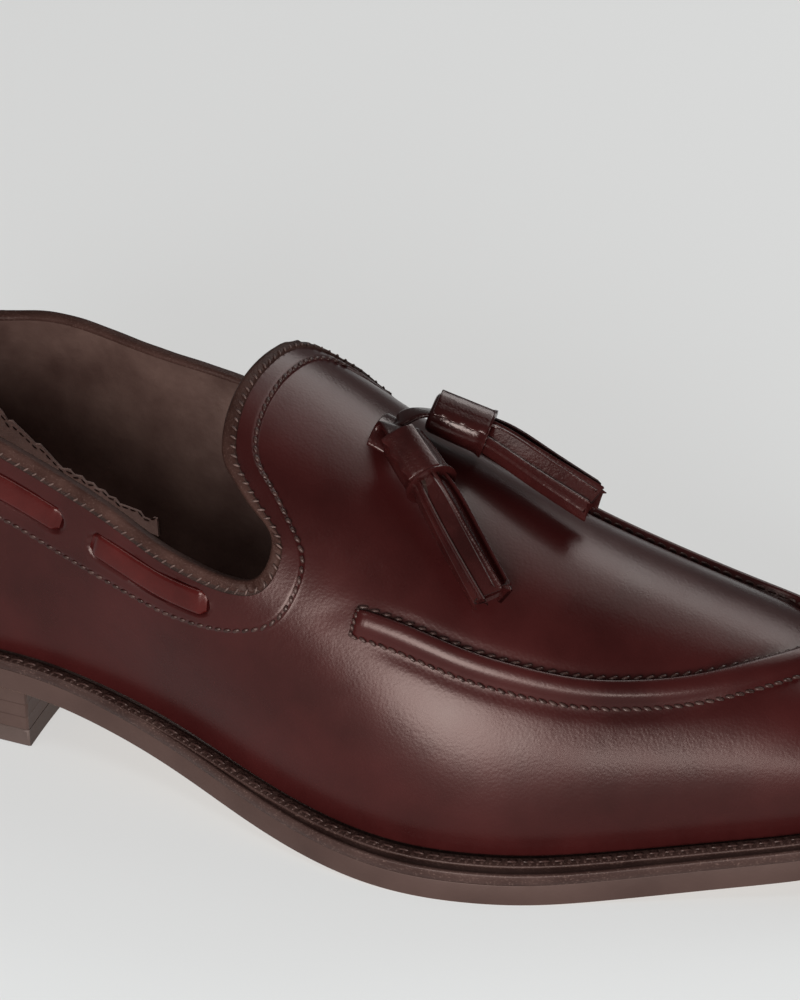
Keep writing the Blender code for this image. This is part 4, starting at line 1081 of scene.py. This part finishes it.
# share of the band's height and height off it, then the fold over the edge, outwards and upwards
tabRows = ((0.02, 0.35), (0.2, 0.35), (0.4, 0.35), (0.6, 0.4), (0.75, 0.6), (0.88, 1.05), (1.0, 1.1))
tabFold = (
    (1.7, 1.0), (1.0, 2.0), (-0.2, 2.5), (-1.6, 2.3), (-2.9, 1.5), (-3.7, 0.0), (-3.9, -2.5), (-3.9, -5.5),
    (-3.8, -8.5),
)
sheet = []
for side in np.linspace(-1.0, 1.0, tab["columns"]):
    place = np.array([float(collarShareOf(0.0)) + side * tab["halfWidth"] / tab["toplineLength"]])
    _feather, seamSpot, topSpot = collarAt(place)
    spot = np.concatenate([seamSpot + (topSpot - seamSpot) * share for share, _h in tabRows])
    heights = np.array([upper["bandRise"] + h for _share, h in tabRows])
    out = patternNormal(spot)
    line = patternPoint(spot) + out * heights[:, None]
    head = patternPoint(topSpot)[0]
    rise = unit(head - patternPoint(spot[-3]))
    fold = np.array([head + out[-1] * a + rise * b for a, b in tabFold])
    column = np.concatenate([line, fold])
    sheet.append(bendPath(column, tab["rows"]))
tabPiece = gridPiece("back_strap", np.array(sheet), angle=60.0)
if Vector(tabPiece.data.polygons[30].normal).x > 0.0:
    flipFaces()
addModifier(tabPiece, "SOLIDIFY", thickness=tab["thickness"] * mm, offset=1.0)
bevelEdges(tabPiece, tab["softness"])
bpy.ops.object.shade_smooth_by_angle(angle=math.radians(50.0))
finishPiece(tabPiece, laceLeather, "upper_leather", "back_tab")

# Tassels: strap over a fold, wrapped cap with a flared rim, and a bundle of flat strips

tassel = {
    "capRadius": 5.9, "capFlatness": 0.9, "skirtFlatness": 0.72, "rootRadius": 4.3, "endRadius": 4.3,
    "stripStations": 22, "stripThickness": 0.85, "stripRagged": 0.9, "coreHalfWidth": 4.1,
    "coreThickness": 4.6, "coreRagged": 0.8, "flapThickness": 1.1, "flapSoftness": 0.2,
    "flapFrom": 28.0, "flapTo": 100.0, "strapHalfWidth": 3.1, "strapThickness": 1.3,
    "pinholeAngle": 46.0, "pinholePlace": 6.5, "pinholeRadius": 0.75,
}

# outline of the cap: distance from its start and share of its radius
capStages = (
    (0.0, 0.72), (0.35, 0.86), (1.2, 0.93), (7.0, 0.96), (12.4, 1.0), (13.6, 1.04), (14.3, 1.12),
    (15.0, 1.14), (15.2, 1.0), (14.9, 0.8),
)

# name, strap start, cap start, cap end and skirt end, each x, y, z
tasselRows = (
    ("tassel_outer", (139.5, 4.5, 87.5), (147.5, -4.2, 91.4), (158.2, -12.8, 86.6), (179.5, -27.6, 69.5)),
    ("tassel_inner", (141.0, 8.0, 87.5), (148.0, 13.6, 90.6), (161.4, 15.6, 86.4), (190.5, 10.8, 76.4)),
)

# strips of one skirt: angle round the bundle, half width, extra length, shift out at the end
stripRows = (
    (54.0, 3.9, 0.6, 0.5), (112.0, 4.0, -0.4, -0.1), (2.0, 2.9, 0.9, 0.2), (158.0, 3.0, -1.2, -0.3),
    (-42.0, 2.6, -1.0, -0.2), (205.0, 2.6, 0.5, -0.4), (250.0, 3.2, -0.6, -0.6), (300.0, 2.8, 0.2, -0.4),
)


def flatStrip(name, path, face, halfWidth, thickness, ragged=0.0):
    along = unit(np.gradient(path, axis=0))
    side = unit(np.cross(face, along))
    up = np.cross(along, side)
    ring = roundedBar(1.0, -0.5, 0.5, 0.25, 2)
    width = np.broadcast_to(halfWidth, (len(path),))
    sideways = width[:, None] * ring[None, :, 0]
    upwards = np.broadcast_to(thickness * ring[:, 1], sideways.shape)
    rings = ringSweep(path, side, up, np.stack([sideways, upwards], -1))
    if ragged:
        rings[-2:] += along[-2:, None] * (ragged * dice.uniform(-1.0, 1.0, (1, len(ring), 1)))
    return gridPiece(name, rings, wrapRound=True, capEnds=True, angle=45.0)


def joinPieces(name, pieces):
    makeActive(pieces[0])
    for piece in pieces:
        piece.select_set(True)
    bpy.ops.object.join()
    pieces[0].name = name
    return pieces[0]


for name, strapStart, capStart, capEnd, skirtEnd in tasselRows:
    strapStart, capStart, capEnd, skirtEnd = (np.array(p) for p in (strapStart, capStart, capEnd, skirtEnd))
    capWay = unit(capEnd - capStart)
    way = unit(skirtEnd - capEnd)
    side = unit(np.cross(capWay, (0.0, 0.0, 1.0)))
    up = np.cross(side, capWay)
    # wrapped cap, a little wider to its flared rim
    angles = np.linspace(0.0, 2.0 * math.pi, 48, endpoint=False)
    cap = []
    for distance, girth in capStages:
        radius = tassel["capRadius"] * girth * (1.0 + 0.02 * np.sin(2.0 * angles + distance * 0.4))
        cap.append(capStart + capWay * distance + side * (np.cos(angles) * radius)[:, None]
                   + up * (np.sin(angles) * radius * tassel["capFlatness"])[:, None])
    capPiece = gridPiece(name + "_cap", np.stack(cap, 1), wrapLong=True, capEnds=True, angle=55.0)
    # overlapping flap on the side that shows its free edge
    flapAngles = np.radians(np.linspace(tassel["flapFrom"], tassel["flapTo"], 22))
    flap = []
    for distance in np.linspace(0.8, 14.6, 18):
        atEdge = flapAngles < math.radians(tassel["flapFrom"] + 6.0)
        radius = tassel["capRadius"] * 0.98 + 0.55
        radius = radius + 0.7 * smooth(60.0, tassel["flapFrom"], np.degrees(flapAngles))
        wobble = 0.35 * np.sin(distance * 1.3) * atEdge
        flap.append(capStart + capWay * (distance + 0.3 * wobble)[:, None]
                    + side * (np.cos(flapAngles) * (radius + wobble))[:, None]
                    + up * (np.sin(flapAngles) * radius * tassel["capFlatness"])[:, None])
    flapPiece = gridPiece(name + "_flap", np.array(flap), angle=60.0)
    addModifier(flapPiece, "SOLIDIFY", thickness=tassel["flapThickness"] * mm, offset=0.0)
    bevelEdges(flapPiece, tassel["flapSoftness"])
    # skirt of strips
    skirtSide = unit(np.cross(way, (0.0, 0.0, 1.0)))
    skirtUp = np.cross(skirtSide, way)
    parts = [capPiece, flapPiece]
    reach = np.linalg.norm(skirtEnd - capEnd)
    for k, (angle, halfWidth, extra, spread) in enumerate(stripRows):
        angle = math.radians(angle)
        around = skirtSide * math.cos(angle) + skirtUp * (math.sin(angle) * tassel["skirtFlatness"])
        root = tassel["rootRadius"]
        end = tassel["endRadius"] + spread
        path = bendPath([
            capEnd - capWay * 2.5 + around * (root - 0.9), capEnd + way * 2.5 + around * (root - 0.2),
            capEnd + way * (0.45 * reach) + around * (0.5 * (root + end) + 0.2),
            capEnd + way * (reach + extra) + around * end,
        ], tassel["stripStations"])
        widths = halfWidth * np.linspace(0.82, 1.0, tassel["stripStations"])
        stripSize = widths, tassel["stripThickness"], tassel["stripRagged"]
        parts.append(flatStrip(name + "_strip", path, around, *stripSize))
    core = bendPath([capEnd - way * 2.0, capEnd + way * 12.0, skirtEnd - way * 2.5], 12)
    coreSize = tassel["coreHalfWidth"], tassel["coreThickness"], tassel["coreRagged"]
    finishPiece(flatStrip(name + "_core", core, skirtUp, *coreSize), cutEdge, "upper_leather")
    # strap that comes up out of the vamp, folds and goes into the cap
    lift = patternNormal(strapStart[:2])
    middle = 0.5 * (strapStart + capStart) + lift * 1.6
    strap = bendPath([
        strapStart - lift * 1.0, strapStart + lift * 2.2 + capWay * 0.5, middle, capStart + capWay * 2.5,
    ], 26)
    parts.append(flatStrip(name + "_strap", strap, lift, tassel["strapHalfWidth"], tassel["strapThickness"]))
    # small pinhole in the cap's overlap, drawn with no hole cut: a dot of cut-edge finish let into the
    # leather paints the hole's shade
    if name == "tassel_inner":
        pinholeAngle = math.radians(tassel["pinholeAngle"])
        around = side * math.cos(pinholeAngle) + up * (math.sin(pinholeAngle) * tassel["capFlatness"])
        spot = capStart + capWay * tassel["pinholePlace"] + tassel["capRadius"] * 0.95 * around
        place = (spot - heelMiddle) * mm
        radius = tassel["pinholeRadius"] * mm
        bpy.ops.mesh.primitive_uv_sphere_add(segments=16, ring_count=10, radius=radius, location=place)
        pinhole = bpy.context.object
        pinhole.name = "cap_pinhole_shade"
        bpy.ops.object.transform_apply(location=True, rotation=True, scale=True)
        finishPiece(pinhole, cutEdge, "upper_leather")
    tasselPiece = joinPieces(name + "_bundle", parts)
    finishPiece(tasselPiece, tasselLeather, "upper_leather", name)
print("tassels done")

# Fold of lace between the tassels, flat on the vamp

knot = {
    "x": 141.0, "y": 6.0, "halfLength": 3.4, "halfWidth": 7.4, "height": 2.6, "sink": 0.9,
    "halfThickness": 0.75, "softness": 0.4, "stations": 30,
}
acrossLine = np.linspace(-14.0, 14.0, 113)
line = patternPoint(np.stack([np.full(len(acrossLine), knot["x"]), acrossLine], 1))
slope = float(crestCurve(knot["x"], slope=True)[0])
bar = roundedBar(knot["halfLength"], -knot["halfThickness"], knot["halfThickness"], knot["softness"])
rows = []
for t in np.linspace(-1.0, 1.0, knot["stations"]):
    y = knot["y"] + t * knot["halfWidth"]
    level = float(np.interp(y, line[:, 1], line[:, 2]))
    rise = knot["height"] * math.sqrt(max(0.0, 1.0 - 0.94 * t * t)) - knot["sink"]
    rows.append([(knot["x"] + a, y, level + a * slope + rise + b) for a, b in bar])
knotPiece = gridPiece("lace_fold", np.array(rows), wrapRound=True, capEnds=True)
finishPiece(knotPiece, tasselLeather, "upper_leather", "lace_knot")
print("knot done")

# Floor, camera and light

bpy.ops.mesh.primitive_plane_add(size=8.0)
floor = bpy.context.object
floor.name = "studio_floor"
floorFinish, _tree, _shader = newMaterial(
    "paleFloor", Base_Color=(0.26, 0.28, 0.288, 1.0), Roughness=0.9, Specular_IOR_Level=0.1,
    Emission_Color=(1.0, 0.975, 0.95, 1.0), Emission_Strength=0.46)
floor.data.materials.append(floorFinish)

view = {
    "azimuth": 21.04, "elevation": 29.68, "roll": -0.93, "distance": 802.8, "shiftX": -3.7, "shiftY": 20.45,
    "lens": 119.2, "aim": (119.0, 0.0, 50.0),
}
azimuth, elevation, roll = (math.radians(view[key]) for key in ("azimuth", "elevation", "roll"))
ca, sa, ce, se = math.cos(azimuth), math.sin(azimuth), math.cos(elevation), math.sin(elevation)
cr, sr = math.cos(roll), math.sin(roll)
axes = np.array([[ca, sa, 0.0], [-se * sa, se * ca, ce], [sa * ce, -ca * ce, se]])
axes = np.array([[cr, -sr, 0.0], [sr, cr, 0.0], [0.0, 0.0, 1.0]]) @ axes
eye = (np.array(view["aim"]) + axes.T @ np.array([view["shiftX"], view["shiftY"], view["distance"]])) * mm
bpy.ops.object.camera_add(location=eye)
camera = bpy.context.object
camera.name = "photo_camera"
camera.matrix_world = Matrix.Translation(Vector(eye)) @ Matrix(axes.T.tolist()).to_4x4()
camera.data.lens = view["lens"]
camera.data.sensor_width = 36.0
camera.data.clip_end = 20.0
bpy.context.scene.camera = camera

# name, shape, place and aim in metres, width, height, power
lights = (
    ("back_softbox", "RECTANGLE", (0.32, 0.96, 0.90), (0.13, 0.0, 0.06), 1.0, 0.44, 6.4),
    ("high_fill", "ELLIPSE", (0.50, 0.64, 1.14), (0.14, 0.0, 0.06), 1.0, 0.7, 2.8),
    ("camera_side_softbox", "ELLIPSE", (0.304, -0.959, 0.280), (0.14, -0.03, 0.04), 0.68, 0.56, 19.0),
    ("toe_softbox", "ELLIPSE", (0.72, -0.80, 0.10), (0.22, -0.02, 0.03), 0.2, 0.16, 1.4),
    ("inside_fill", "ELLIPSE", (-0.113, -0.395, 0.966), (0.02, 0.0, 0.05), 0.4, 0.32, 1.5),
)
for name, shape, place, aim, width, height, power in lights:
    bpy.ops.object.light_add(type="AREA", location=place)
    lamp = bpy.context.object
    lamp.name = name
    lamp.data.shape = shape
    lamp.data.size = width
    lamp.data.size_y = height
    lamp.data.energy = power
    lamp.rotation_euler = (Vector(aim) - Vector(place)).to_track_quat("-Z", "Y").to_euler()

world = bpy.data.worlds.new("studio")
world.use_nodes = True
world.node_tree.nodes["Background"].inputs["Color"].default_value = (0.95, 0.95, 0.94, 1.0)
world.node_tree.nodes["Background"].inputs["Strength"].default_value = 0.13
bpy.context.scene.world = world
bpy.context.scene.view_settings.view_transform = "Standard"
print("camera and light ready")
